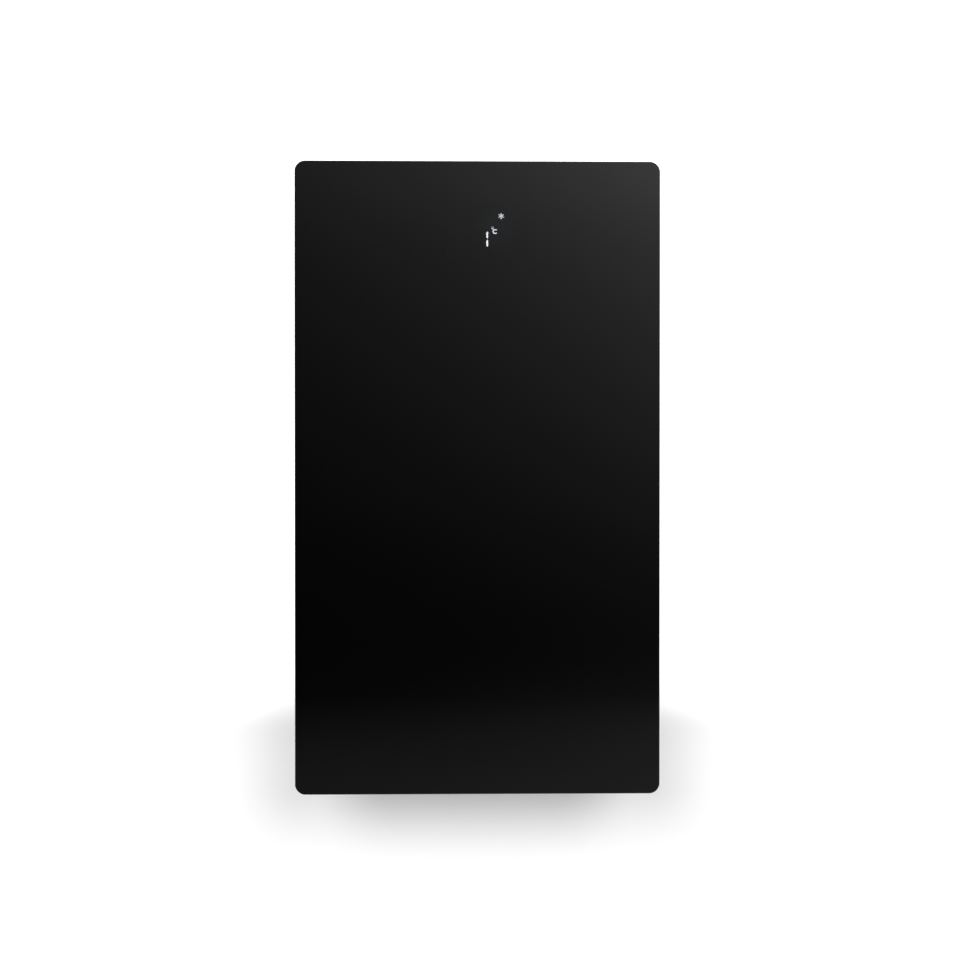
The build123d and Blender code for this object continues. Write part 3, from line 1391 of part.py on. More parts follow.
def make_comms():
    low = housing_bottom - frame_thickness
    jacks = []
    for x in jack_places():
        body = block(x - jack_width / 2, x + jack_width / 2, middle_y - jack_depth / 2,
                     middle_y + jack_depth / 2,
                     low, low + jack_height)
        body -= block(x - jack_opening_width / 2, x + jack_opening_width / 2,
                      middle_y - jack_opening_depth / 2,
                      middle_y + jack_opening_depth / 2, low - 1, low + jack_opening_height)
        jacks.append(body)
    keep("comms_sockets", jacks)
    top = low + jack_height
    keep("comms_sockets", [block(sockets_x - comms_board_half, sockets_x + comms_board_half,
                                 middle_y - comms_board_half, middle_y + comms_board_half, top,
                                 top + board_thickness)])
    half_x = jack_pitch / 2 + jack_width / 2 + frame_margin
    half_y = jack_depth / 2 + frame_margin
    frame = block(sockets_x - half_x, sockets_x + half_x, middle_y - half_y, middle_y + half_y, low,
                  housing_bottom)
    frame = fillet(frame.edges().filter_by(Axis.Z), moulding_radius)
    for x in jack_places():
        frame -= block(x - jack_width / 2, x + jack_width / 2, middle_y - jack_depth / 2,
                       middle_y + jack_depth / 2, low - 1, housing_bottom + 1)
    hinge_y = middle_y + half_y + flap_knuckle_radius
    hinge_z = housing_bottom - flap_knuckle_radius - flap_gap
    knuckle = flap_knuckle_length
    for side in (-1, 1):
        a, b = sorted((sockets_x + side * (half_x - knuckle), sockets_x + side * half_x))
        frame += rod_x(flap_knuckle_radius, a, b, hinge_y, hinge_z)
        frame += block(a, b, middle_y + half_y - flap_gap, hinge_y, hinge_z, housing_bottom)
    pin_hole = rod_x(flap_pin_radius, sockets_x - half_x - 1, sockets_x + half_x + 1, hinge_y, hinge_z)
    keep("socket_frame", [frame - pin_hole])
    keep("flap_pin", [rod_x(flap_pin_radius, sockets_x - half_x, sockets_x + half_x, hinge_y, hinge_z)])
    lid_top = low - flap_gap
    inner = half_x - knuckle - flap_gap
    lid = block(sockets_x - half_x, sockets_x + half_x, middle_y - half_y - flap_shift,
                middle_y + half_y - flap_shift,
                lid_top - flap_thickness, lid_top)
    lid = fillet(lid.edges().filter_by(Axis.Z), moulding_radius)
    lid += rod_x(flap_knuckle_radius, sockets_x - inner, sockets_x + inner, hinge_y, hinge_z)
    lid += block(sockets_x - inner, sockets_x + inner, middle_y + half_y - flap_arm, hinge_y,
                 lid_top - flap_thickness,
                 lid_top)
    lid -= rod_x(flap_pin_radius + flap_pin_fit, sockets_x - half_x, sockets_x + half_x, hinge_y, hinge_z)
    lid -= block(sockets_x - inner - 1, sockets_x + inner + 1, middle_y, middle_y + half_y + flap_gap, lid_top,
                 housing_bottom)
    keep("socket_flap", [lid])


def make_vent_and_earth():
    x, y = vent_x, middle_y
    low = housing_bottom - vent_cap
    cap = rod_z(vent_cap_radius, x, y, low, housing_bottom)
    cap = chamfer(cap.edges().filter_by_position(Axis.Z, low - 0.01, low + 0.01), vent_bevel)
    slot = Box(2 * vent_cap_radius + 2, vent_slot_width, vent_slot_height)
    slots = [Pos(x, y, low + vent_slot_rise) * Rot(0, 0,
                                                   180 * i / vent_slots) * slot for i in range(vent_slots)]
    cap = cut(cap, slots) + rod_z(vent_cap_radius - vent_core_inset, x, y, low, housing_bottom)
    cap += rod_z(vent_thread_radius, x, y, housing_bottom, floor_z + vent_thread_in)
    keep("vent_valve", [cap])
    nut = hex_z(vent_nut_flats, x, y, floor_z, floor_z + thin_nut)
    keep("housing_nuts", [nut - rod_z(vent_thread_radius + thread_slack, x, y, floor_z - 1,
                                      floor_z + thin_nut + 1)])
    # A flanged earth stud. Its outer nut comes with the ring lug that it will hold.
    x = earth_x
    stud = rod_z(earth_radius, x, y, housing_bottom - earth_length, housing_bottom)
    stud += rod_z(earth_flange_radius, x, y, housing_bottom - earth_flange, housing_bottom)
    stud += rod_z(earth_shank_radius, x, y, housing_bottom, floor_z)
    keep("earth_terminal", [stud + hex_z(earth_nut_flats, x, y, floor_z, floor_z + thin_nut)])


# ---- Carrying handles ----
def mirrored(side, shape):
    """A shape drawn for the right side, mirrored when it belongs on the left."""
    return shape if side > 0 else shape.mirror(Plane.YZ)


def make_handles():
    z_mid = (cup_top + cup_bottom) / 2
    x_out = housing_side
    x_floor = x_out - cup_depth - cup_wall
    outer = block(x_floor, x_out, middle_y - cup_length / 2 - cup_wall, middle_y + cup_length / 2 + cup_wall,
                  cup_bottom - cup_wall, cup_top + cup_wall)
    flange_y = cup_length / 2 + cup_wall + cup_flange
    flange_z = cup_height / 2 + cup_wall + cup_flange
    flange = block(x_out, x_out + cup_flange_thickness, middle_y - flange_y, middle_y + flange_y,
                   z_mid - flange_z, z_mid + flange_z)
    flange = fillet(flange.edges().filter_by(Axis.X), cup_corner_radius)
    inside = block(x_out - cup_depth, x_out + cup_flange_thickness + 1, middle_y - cup_length / 2,
                   middle_y + cup_length / 2, cup_bottom, cup_top)
    pivot_x = x_out - bail_pivot_in
    pin_end = cup_length / 2 + cup_wall + 1
    cup = outer + flange - inside
    cup -= Pos(pivot_x, middle_y + pin_end, pivot_z) * extrude(
        Plane.XZ * Circle(bail_pin_radius + bail_pin_fit), 2 * pin_end)
    grip_z = pivot_z - bail_drop
    parts = []
    for side in (-1, 1):
        y = middle_y + side * leg_y
        parts.append(rod_z(bail_rod_radius, pivot_x, y, grip_z, pivot_z))
        parts.append(Pos(pivot_x, y, pivot_z) * Sphere(bail_rod_radius))
        parts.append(Pos(pivot_x, y, grip_z) * Sphere(bail_rod_radius))
        a, b = sorted((y, middle_y + side * (cup_length / 2 + cup_wall)))
        parts.append(rod_y(bail_pin_radius, pivot_x, b, b - a, pivot_z))
    parts.append(rod_y(bail_rod_radius, pivot_x, middle_y + leg_y, 2 * leg_y, grip_z))
    bail = parts[0]
    for part in parts[1:]:
        bail += part
    sleeve = rod_y(grip_radius, pivot_x, middle_y + grip_length / 2, grip_length, grip_z)
    sleeve = fillet(sleeve.edges().filter_by(GeomType.CIRCLE), grip_edge_radius)
    sleeve -= rod_y(bail_rod_radius, pivot_x, middle_y + grip_length, 2 * grip_length, grip_z)
    for name, side in (("right", 1), ("left", -1)):
        keep("handle_cups", [mirrored(side, cup)])
        keep(name + "_bail", [mirrored(side, bail)])
        keep(name + "_grip", [mirrored(side, sleeve)])


def main():
    make_wall_bracket()
    make_hanger_rail()
    make_lower_bracket()
    make_rivets()
    make_housing()
    make_cover_and_gasket()
    make_cover_screws()
    make_glass()
    make_print()
    make_carrier()
    make_studs()
    make_display()
    make_cells()
    make_end_plates()
    make_bands()
    make_shelves()
    make_busbars()
    make_terminals()
    make_cables()
    make_sense_wiring()
    make_display_ribbon()
    make_plate_and_board()
    make_fuse_and_shunt()
    make_outputs()
    make_isolator()
    make_glands()
    make_button()
    make_comms()
    make_vent_and_earth()
    make_handles()
    os.makedirs("parts", exist_ok=True)
    for node, solids in pieces.items():
        export_step(Compound(children=solids), "parts/" + node + ".step")


main()
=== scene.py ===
import bpy
import bmesh
import json
from math import cos, pi, radians, sin
from mathutils import Matrix, Vector
from bpy.props import FloatProperty, FloatVectorProperty, IntProperty, PointerProperty


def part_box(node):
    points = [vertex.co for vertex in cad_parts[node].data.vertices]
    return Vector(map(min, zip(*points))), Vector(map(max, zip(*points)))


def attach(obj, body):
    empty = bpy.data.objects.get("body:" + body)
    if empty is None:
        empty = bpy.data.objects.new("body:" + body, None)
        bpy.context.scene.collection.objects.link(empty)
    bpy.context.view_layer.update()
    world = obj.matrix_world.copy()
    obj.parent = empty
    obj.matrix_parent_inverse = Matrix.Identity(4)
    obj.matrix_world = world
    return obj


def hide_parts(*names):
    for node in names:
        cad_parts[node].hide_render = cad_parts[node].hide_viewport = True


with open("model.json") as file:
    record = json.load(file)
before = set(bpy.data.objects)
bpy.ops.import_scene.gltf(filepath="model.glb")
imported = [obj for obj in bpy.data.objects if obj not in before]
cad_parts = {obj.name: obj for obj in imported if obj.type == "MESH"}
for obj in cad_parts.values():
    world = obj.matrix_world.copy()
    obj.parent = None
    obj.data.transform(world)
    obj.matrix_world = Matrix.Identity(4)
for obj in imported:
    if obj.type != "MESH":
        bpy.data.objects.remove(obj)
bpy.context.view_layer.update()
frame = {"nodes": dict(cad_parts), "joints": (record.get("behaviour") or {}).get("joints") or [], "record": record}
nodes = frame["nodes"]

bl_info = {
    "name": "Wall Battery Unit",
    "version": (1, 0, 0),
    "blender": (4, 5, 0),
    "location": "3D View > Sidebar > Battery",
    "description": "Finishes a slim wall-hung battery with a dark glass front",
    "category": "Object",
}

MM = 0.001
# Points of a new mesh are merged below the first distance, and are taken as one below the second.
MERGE, SAME_PLACE = 1e-7, 1e-6
DEEP_BLACK = (0.0006, 0.0006, 0.0007)
glass_low, glass_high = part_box("front_glass")
glass_size = glass_high - glass_low
glass_middle = (glass_low + glass_high) / 2
shell_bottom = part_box("housing_shell")[0].z
display_low, display_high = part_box("display_mask")
display_middle = (display_low + display_high) / 2


# ---- Settings a user would change ----
def a_length(name, about, millimetres):
    return FloatProperty(name=name, description=about, default=millimetres * MM, unit="LENGTH")


def an_angle(name, about, degrees):
    return FloatProperty(name=name, description=about, default=radians(degrees), subtype="ANGLE")


def a_number(name, about, value):
    return FloatProperty(name=name, description=about, default=value)


def a_count(name, about, value):
    return IntProperty(name=name, description=about, default=value, min=1)


def a_colour(name, about, value):
    return FloatVectorProperty(name=name, description=about, default=value, subtype="COLOR")


class GlassSettings(bpy.types.PropertyGroup):
    corner: a_length("Corner radius", "Radius of the slab's outline corners", 13)
    arris: a_length("Ground edge", "Width of the ground chamfer on the front", 1.0)
    back_arris: a_length("Back edge", "Width of the ground chamfer on the back", 0.5)
    bond_gap: a_length("Bond gap", "Clear film between the glass and its print", 0.05)
    tint: a_colour("Tint", "Colour of the glass", (0.048, 0.05, 0.052))
    index: a_number("Index", "How strongly the glass mirrors", 1.63)
    print_colour: a_colour("Print", "Colour of the fired print", DEEP_BLACK)


class DisplaySettings(bpy.types.PropertyGroup):
    lit: a_colour("Lit colour", "Colour of the lit marks", (0.93, 0.96, 1.0))
    strength: a_number("Brightness", "Glow of the lit figures", 22.0)
    sign_gain: a_number("Sign gain", "Brightness of the small signs, as a share of the figure's", 0.85)
    bar_width: a_length("Bar width", "Width of the figure's bars", 1.95)
    bar_length: a_length("Bar length", "Length of the figure's bars", 7.5)
    # The halo is a painted glow: light that the print itself gives off around the marks.
    painted_halo: a_number("Halo", "Stray light in the print around the marks", 0.07)


class BodySettings(bpy.types.PropertyGroup):
    coat: a_colour("Powder coat", "Colour of the housing", (0.055, 0.058, 0.063))
    moulding: a_colour("Moulding", "Colour of the black mouldings", (0.018, 0.018, 0.020))
    zinc: a_colour("Zinc", "Colour of the plated brackets", (0.56, 0.57, 0.58))


class FixingSettings(bpy.types.PropertyGroup):
    head: a_length("Head", "Height of a cover screw's head", 2.4)
    shank: a_length("Shank", "Radius of a cover screw's shank", 2.0)
    socket: a_length("Socket", "Socket across its flats", 2.5)
    socket_depth: a_length("Socket depth", "Depth of the socket", 1.4)
    rivet_shank: a_length("Rivet shank", "Radius of a rivet", 2.5)
    rivet_tail: a_length("Rivet tail", "Height of a set rivet's tail", 3.0)


class BracketSettings(bpy.types.PropertyGroup):
    sheet: a_length("Sheet", "Thickness of the plated sheet", 2.5)
    bend: a_length("Bend", "Inner radius of the bends", 1.5)
    lip: a_length("Lip", "Height of the lip over the shelf", 19)
    bolts_across: a_length("Bolts across", "Between the wall bolts, sideways", 280)
    bolts_up: a_length("Bolts up", "Between the wall bolts, upwards", 60)
    bolt_hole: a_length("Bolt hole", "Radius of a bolt hole", 4.5)
    lower_pad: a_length("Lower pad", "Height of the lower bracket's pad", 30)
    screws_across: a_length("Screws across", "Between the lower screws", 160)
    screw_hole: a_length("Screw hole", "Radius of a lower screw hole", 3.5)


class HandleSettings(bpy.types.PropertyGroup):
    flange: a_length("Flange", "Width of the cup's flange", 8)
    wall: a_length("Wall", "Thickness of the cup", 2)
    rim: a_length("Rim", "Thickness of the flange", 1.8)
    draft: a_length("Draft", "Narrowing of the cup with its depth", 1.4)
    corner: a_length("Corner", "Radius of the cup's corners", 7)
    rod: a_length("Rod", "Radius of the bail's rod", 4)
    bend: a_length("Bend", "Radius of the bail's bends", 9)
    pin: a_length("Pin", "Radius of the bail's pins", 3)
    pin_length: a_length("Pin length", "From the leg's middle to the pin's end", 9)
    collar: a_length("Collar", "Length of the grip's smooth ends", 4)
    rib_height: a_length("Rib height", "How far the ribs stand out", 0.9)
    rib_width: a_length("Rib width", "Width of a rib", 2.6)
    ribs: a_count("Ribs", "How many ribs a grip has", 13)


class FittingSettings(bpy.types.PropertyGroup):
    gland_flats: a_length("Gland", "Gland's body across its flats", 36)
    seal: a_length("Seal", "Radius of the gland's seal", 10)
    cable_hole: a_length("Cable hole", "Radius of the hole for a cable", 6.5)
    contacts: a_count("Contacts", "Contacts in each network socket", 8)
    contact_pitch: a_length("Contact pitch", "Between two contacts", 1.02)


class StudioSettings(bpy.types.PropertyGroup):
    mirror_level: a_number("Reflected brightness", "Level of what the glass mirrors", 0.72)
    distance: a_length("Camera distance", "From the camera to the glass", 2200)
    swing: an_angle("Swing", "Camera's turn to the left of the glass", 1.2)
    lift: an_angle("Lift", "Camera's height over the middle of the glass", 0.5)
    view_width: a_length("View width", "Width that the view takes in at the glass", 1182.4)
    aim_right: a_length("Aim right", "Aim beside the middle of the glass", 2.85)
    aim_down: a_length("Aim down", "Aim below the middle of the glass", 2.3)
    fill: a_number("Fill", "Even light from all round", 0.36)
    sun: a_number("Soft light", "Broad light from above the front", 2.0)
    sun_height: an_angle("Light height", "How far above the front the lights stand", 22)
    sun_spread: an_angle("Light spread", "How far to each side the lights stand", 20)
    softness: an_angle("Softness", "Width of the lights as the wall sees them", 26)
    floor_z: a_length("Floor height", "Height of the floor", -1000)

SETTINGS = (("glass", GlassSettings), ("display", DisplaySettings), ("body", BodySettings),
            ("fixings", FixingSettings), ("brackets", BracketSettings), ("handles", HandleSettings),
            ("fittings", FittingSettings), ("studio", StudioSettings))


def setting(group):
    return getattr(bpy.context.scene, "battery_" + group)


# ---- Mesh helpers ----
def add_piece(name, data, material=None):
    piece = bpy.data.objects.new(name, data)
    bpy.context.scene.collection.objects.link(piece)
    if material:
        data.materials.clear()
        data.materials.append(material)
    return piece


def mesh_from(name, fill):
    """A mesh that a function fills, with its doubles merged and its faces turned outwards."""
    bm = bmesh.new()
    fill(bm)
    bmesh.ops.remove_doubles(bm, verts=bm.verts, dist=MERGE)
    bmesh.ops.recalc_face_normals(bm, faces=bm.faces)
    mesh = bpy.data.meshes.new(name)
    bm.to_mesh(mesh)
    bm.free()
    return mesh


def applied(piece, *helpers):
    """The piece's mesh with its modifiers applied. The piece and its helpers are removed."""
    graph = bpy.context.evaluated_depsgraph_get()
    mesh = bpy.data.meshes.new_from_object(piece.evaluated_get(graph))
    for spare in (piece, *helpers):
        bpy.data.objects.remove(spare)
    return mesh


def soften(mesh, angle, flat_sides=8):
    """Smooth shading, sharp where faces turn by more than the angle. Many-sided ends stay flat."""
    mesh.shade_smooth()
    mesh.set_sharp_from_angle(angle=angle)
    for face in mesh.polygons:
        if len(face.vertices) >= flat_sides:
            face.use_smooth = False


def rounded_outline(width, height, radius, steps=24):
    """Points of a rounded rectangle around zero, anticlockwise."""
    points = []
    for i, (sx, sz) in enumerate(((1, 1), (-1, 1), (-1, -1), (1, -1))):
        for k in range(steps + 1):
            turn = radians(90 * i + 90 * k / steps)
            points.append((sx * (width / 2 - radius) + radius * cos(turn),
                           sz * (height / 2 - radius) + radius * sin(turn)))
    return points


def skin(bm, loops, close_ends=True):
    """Faces between loops of equal length, with a face on each end."""
    rings = [[bm.verts.new(p) for p in loop] for loop in loops]
    count = len(rings[0])
    for a, b in zip(rings, rings[1:]):
        for i in range(count):
            j = (i + 1) % count
            bm.faces.new((a[i], a[j], b[j], b[i]))
    if close_ends:
        bm.faces.new(rings[0])
        bm.faces.new(list(reversed(rings[-1])))


def loft(bm, place, sections):
    """A body with rounded rectangular sections. Each section is (width, height, corner radius, level)."""
    skin(bm, [[place @ Vector((x, y, level)) for x, y in rounded_outline(width, height, radius)]
              for width, height, radius, level in sections])


def turned(bm, place, profile, bored=False, steps=48):
    """A turned body. A step of the profile is (radius, level), and a third value over zero makes it a
    hexagon of that size across its flats, and one under zero cuts shallow flutes of that depth."""
    loops = []
    for radius, level, *flats in profile:
        loop = []
        for i in range(steps):
            turn = 2 * pi * i / steps
            reach = radius
            if flats and flats[0] > 0:
                reach = min(radius, flats[0] / 2 / cos((turn + pi / 6) % (pi / 3) - pi / 6))
            elif flats:
                reach += flats[0] * (1 + cos(steps / 4 * turn)) / 2
            loop.append(place @ Vector((reach * cos(turn), reach * sin(turn), level)))
        loops.append(loop)
    if bored:
        loops.append(loops[0])
    skin(bm, loops, close_ends=not bored)


def scaled(profile):
    """A profile written in millimetres, in metres."""
    return [tuple(value * MM for value in step) for step in profile]


def lathe(place, profile, bored=False, steps=48):
    """A function that fills a bmesh with a turned body. Its profile is written in millimetres."""
    return lambda bm: turned(bm, place, scaled(profile), bored, steps)


def threaded(bm, place, radius, depth, pitch, start, end, steps=24, rows=8):
    """A rod whose surface follows a screw thread, from one level to another."""
    count = round((end - start) / pitch * rows)
    loops = []
    for k in range(count + 1):
        level = start + (end - start) * k / count
        loop = []
        for i in range(steps):
            turn = 2 * pi * i / steps
            phase = (level / pitch - i / steps) % 1.0
            taper = min(1.0, (end - level) / pitch)
            reach = radius - depth * (abs(2 * phase - 1) * taper + 1 - taper)
            loop.append(place @ Vector((reach * cos(turn), reach * sin(turn), level)))
        loops.append(loop)
    skin(bm, loops)


def rod_along(bm, points, radius, flat, steps=20):
    """A round rod along points in one plane. Flat is the direction square to that plane."""
    loops = []
    for i, point in enumerate(points):
        ahead = (points[min(i + 1, len(points) - 1)] - points[max(i - 1, 0)]).normalized()
        side = flat.cross(ahead)
        loops.append([point + radius * (cos(2 * pi * k / steps) * flat + sin(2 * pi * k / steps) * side)
                      for k in range(steps)])
    skin(bm, loops)


def arc(middle, start, end, radius, steps=10):
    """Points of a quarter turn about the middle, from one direction to another."""
    return [middle + radius * (cos(pi / 2 * k / steps) * start + sin(pi / 2 * k / steps) * end)
            for k in range(steps + 1)]


def folded_sheet(bm, line, sheet, bend, width):
    """A folded sheet. The line runs along its middle in y and z, and turns by right angles."""
    middle = bend + sheet / 2
    corners = [Vector((0, *p)) for p in line]
    square = Vector((1, 0, 0))
    sides = []
    for hand in (-1, 1):
        side = []
        for i, corner in enumerate(corners):
            before = (corner - corners[i - 1]).normalized() if i else None
            after = (corners[i + 1] - corner).normalized() if i + 1 < len(corners) else None
            along = before or after
            if before and after:
                inside = hand * square.cross(along).dot(after)
                side += arc(corner + middle * (after - before), -after, before, middle - inside * sheet / 2)
            else:
                side.append(corner + square.cross(along) * hand * sheet / 2)
        sides.append(side)
    outline = sides[0] + sides[1][::-1]
    skin(bm, [[p + Vector((x, 0, 0)) for p in outline] for x in (-width / 2, width / 2)])


def drilled(mesh, name, places, radius, depth):
    """The mesh with round holes along y, each cut right through at its place."""
    def fill(bm):
        for place in places:
            turned(bm, Matrix.Translation(place) @ FACING_BACK, [(radius, -depth), (radius, depth)])
    work = add_piece(name + "_work", mesh)
    drill = add_piece(name + "_drill", mesh_from(name + "_drill", fill))
    cut = work.modifiers.new("Holes", "BOOLEAN")
    cut.operation, cut.object, cut.solver = "DIFFERENCE", drill, "EXACT"
    return applied(work, drill)


def solids_of(node):
    """The lowest and highest corner of each separate solid of a carried-over part."""
    bm = bmesh.new()
    bm.from_mesh(nodes[node].data)
    bmesh.ops.remove_doubles(bm, verts=bm.verts, dist=SAME_PLACE)
    left, boxes = set(bm.verts), []
    while left:
        reached = [left.pop()]
        for vert in reached:
            for edge in vert.link_edges:
                other = edge.other_vert(vert)
                if other in left:
                    left.remove(other)
                    reached.append(other)
        boxes.append((Vector([min(v.co[i] for v in reached) for i in range(3)]),
                      Vector([max(v.co[i] for v in reached) for i in range(3)])))
    bm.free()
    return sorted(boxes, key=lambda box: tuple(round(c, 5) for c in box[0]))


# How a local x, y and level lie: facing the front, the back, a side or down.
FACING_FRONT = Matrix(((1, 0, 0), (0, 0, -1), (0, 1, 0))).to_4x4()
FACING_BACK = Matrix(((1, 0, 0), (0, 0, 1), (0, 1, 0))).to_4x4()
FACING_DOWN = Matrix(((1, 0, 0), (0, 1, 0), (0, 0, -1))).to_4x4()
FACING_RIGHT = Matrix(((0, 0, 1), (1, 0, 0), (0, 1, 0))).to_4x4()
FACING_LEFT = Matrix(((0, 0, -1), (1, 0, 0), (0, 1, 0))).to_4x4()


# ---- Node helpers ----
def put(tree, kind, inputs=None, **values):
    """A new node, its inputs linked or set. A kind named without its prefix is a shader node's."""
    node = tree.nodes.new(kind if "Node" in kind else "ShaderNode" + kind)
    for key, value in values.items():
        setattr(node, key, value)
    for key, value in (inputs or {}).items():
        if isinstance(value, bpy.types.NodeSocket):
            tree.links.new(value, node.inputs[key])
        else:
            node.inputs[key].default_value = value
    return node


def maths(tree, operation, a, b):
    return put(tree, "Math", {0: a, 1: b}, operation=operation).outputs[0]


def mapped(tree, value, start, end, low=0.0, high=1.0, **values):
    """Low where the value is at the start, high where it is at the end."""
    return put(tree, "MapRange", {"Value": value, "From Min": start, "From Max": end, "To Min": low,
                                  "To Max": high}, **values).outputs[0]


def mixed(tree, factor, a, b):
    return put(tree, "Mix", {0: factor, 2: a, 3: b}, data_type="FLOAT").outputs[0]


def mixed_colour(tree, factor, a, b):
    return put(tree, "Mix", {0: factor, 6: a, 7: b}, data_type="RGBA").outputs[2]


def object_place(tree):
    return put(tree, "TexCoord").outputs["Object"]


# ---- Repeats, set out with Geometry Nodes ----
def set_out_tree():
    """Puts a template on each point, turned about an axis by a random angle."""
    tree = bpy.data.node_groups.new("Set Out", "GeometryNodeTree")
    for label, kind in (("Geometry", "Geometry"), ("Template", "Object"), ("Axis", "Vector"),
                        ("Turn", "Float"), ("Seed", "Int"), ("Finish", "Material")):
        tree.interface.new_socket(label, in_out="INPUT", socket_type="NodeSocket" + kind)
    tree.interface.new_socket("Geometry", in_out="OUTPUT", socket_type="NodeSocketGeometry")
    start = put(tree, "NodeGroupInput").outputs
    shape = put(tree, "GeometryNodeObjectInfo", {"Object": start["Template"]})
    angle = put(tree, "FunctionNodeRandomValue", {2: 0.0, 3: start["Turn"], "Seed": start["Seed"]},
                data_type="FLOAT")
    spin = put(tree, "VectorMath", {0: start["Axis"], "Scale": angle.outputs[1]}, operation="SCALE")
    placed = put(tree, "GeometryNodeInstanceOnPoints", {
        "Points": start["Geometry"], "Instance": shape.outputs["Geometry"], "Rotation": spin.outputs[0]})
    real = put(tree, "GeometryNodeRealizeInstances", {0: placed.outputs[0]})
    painted = put(tree, "GeometryNodeSetMaterial", {"Geometry": real.outputs[0],
                                                    "Material": start["Finish"]})
    put(tree, "NodeGroupOutput", {0: painted.outputs[0]})
    return tree


def repeated(name, fill, places, finish, body, *replaced, angle=radians(40), slot=None,
             axis=(0, 1, 0), turn=0.0, seed=1):
    """One finished piece with a copy of the filled shape at each place."""
    template = mesh_from(name + "_template", fill)
    soften(template, angle)
    points = bpy.data.meshes.new(name + "_places")
    points.from_pydata(places, [], [])
    holder = add_piece(name + "_places", points)
    pattern = add_piece(name + "_template", template)
    modifier = holder.modifiers.new("Set Out", "NODES")
    modifier.node_group = bpy.data.node_groups.get("Set Out") or set_out_tree()
    values = {"Template": pattern, "Axis": axis, "Turn": turn, "Seed": seed, "Finish": FINISH[finish]}
    for item in modifier.node_group.interface.items_tree:
        if item.in_out == "INPUT" and item.name in values:
            modifier[item.identifier] = values[item.name]
    mesh = applied(holder, pattern)
    if not mesh.polygons:
        raise RuntimeError("nothing was set out for " + name)
    return stand_for(add_piece(name, mesh), body, slot or finish, *replaced)


# ---- Shared shader groups ----
def new_group(name, inputs, outputs):
    group = bpy.data.node_groups.new(name, "ShaderNodeTree")
    for label, default in inputs:
        socket = group.interface.new_socket(label, in_out="INPUT", socket_type="NodeSocketFloat")
        socket.default_value = default
    for label in outputs:
        group.interface.new_socket(label, in_out="OUTPUT", socket_type="NodeSocketFloat")
    return group, put(group, "NodeGroupInput").outputs, object_place(group)


def grain_group():
    """Fine pitted surface of powder coat and spark-eroded moulds, with slow changes over it."""
    group, start, place = new_group("Surface Grain", (("Scale", 900.0), ("Drift Scale", 9.0)),
                                    ("Height", "Drift"))
    fine = put(group, "TexNoise", {"Vector": place, "Scale": start["Scale"], "Detail": 3.0})
    cells = put(group, "TexVoronoi", {"Vector": place, "Scale": start["Scale"]}, feature="SMOOTH_F1")
    slow = put(group, "TexNoise", {"Vector": place, "Scale": start["Drift Scale"], "Detail": 4.0})
    height = maths(group, "ADD", fine.outputs["Fac"], cells.outputs["Distance"])
    put(group, "NodeGroupOutput", {"Height": height, "Drift": slow.outputs["Fac"]})
    return group


def brush_group():
    """Fine lines along one axis, as rolling and brushing leave them."""
    group, start, place = new_group("Brushed Lines", (("Along", 12.0), ("Across", 1600.0), ("Turn", 0.0)),
                                    ("Height", "Mask"))
    scale = put(group, "CombineXYZ", {0: start["Along"], 1: start["Across"], 2: start["Across"]})
    turn = put(group, "CombineXYZ", {1: start["Turn"]})
    spot = put(group, "Mapping", {"Vector": place, "Scale": scale.outputs[0], "Rotation": turn.outputs[0]})
    lines = put(group, "TexNoise", {"Vector": spot.outputs[0], "Scale": 1.0, "Detail": 3.0})
    patches = put(group, "TexVoronoi", {"Vector": place, "Scale": 90.0})
    put(group, "NodeGroupOutput", {"Height": lines.outputs["Fac"], "Mask": patches.outputs["Color"]})
    return group


def handling_group():
    """Where hands and dust have dulled a surface a little."""
    group, start, place = new_group("Handling Marks", (("Scale", 14.0), ("Reach", 0.55)), ("Mask",))
    cloud = put(group, "TexNoise", {"Vector": place, "Scale": start["Scale"], "Detail": 6.0,
                                    "Roughness": 0.62})
    put(group, "NodeGroupOutput", {"Mask": mapped(group, cloud.outputs["Fac"], start["Reach"], 0.85)})
    return group


MAKERS = {"grain": grain_group, "brush": brush_group, "handling": handling_group}
SHARED = {}


def use_group(shader, name, **inputs):
    """The outputs of a shared group, placed beside the shader with its own values."""
    if name not in SHARED:
        SHARED[name] = MAKERS[name]()
    node = put(shader.id_data, "Group", node_tree=SHARED[name])
    for key, value in inputs.items():
        node.inputs[key.replace("_", " ").title()].default_value = value
    return node.outputs


# ---- Finishes ----
def new_material(name, **constants):
    material = bpy.data.materials.new(name)
    material.use_nodes = True
    shader = material.node_tree.nodes["Principled BSDF"]
    for key, value in constants.items():
        shader.inputs[key.replace("_", " ").title().replace("Ior", "IOR")].default_value = value
    return material, shader


def feed(shader, socket, source):
    shader.id_data.links.new(source, shader.inputs[socket])


def vary(shader, socket, colour, amount, factor):
    """Feeds the socket a colour, a little darker and lighter where the factor says."""
    low = tuple(c * (1 - amount) for c in colour[:3]) + (1.0,)
    high = tuple(min(1.0, c * (1 + amount)) for c in colour[:3]) + (1.0,)
    feed(shader, socket, mixed_colour(shader.id_data, factor, low, high))


def roughen(shader, low, high, factor):
    feed(shader, "Roughness", mapped(shader.id_data, factor, 0.0, 1.0, low, high))


def bump(shader, height, distance, strength=1.0):
    """The distance is in millimetres."""
    node = put(shader.id_data, "Bump", {"Height": height, "Distance": distance * MM,
                                        "Strength": strength})
    feed(shader, "Normal", node.outputs[0])


def patterned(name, colour, amount, rough, depth, pattern, tone, **constants):
    """A finish whose colour and bump follow a pattern, given as a group and its inputs, and whose
    roughness follows its handling. Tone is the output of the pattern that the colour follows."""
    material, shader = new_material(name, **constants)
    kind, inputs = pattern
    marks = use_group(shader, kind, **inputs)
    vary(shader, "Base Color", colour, amount, marks[tone])
    roughen(shader, *rough, use_group(shader, "handling")["Mask"])
    bump(shader, marks["Height"], depth)
    return material


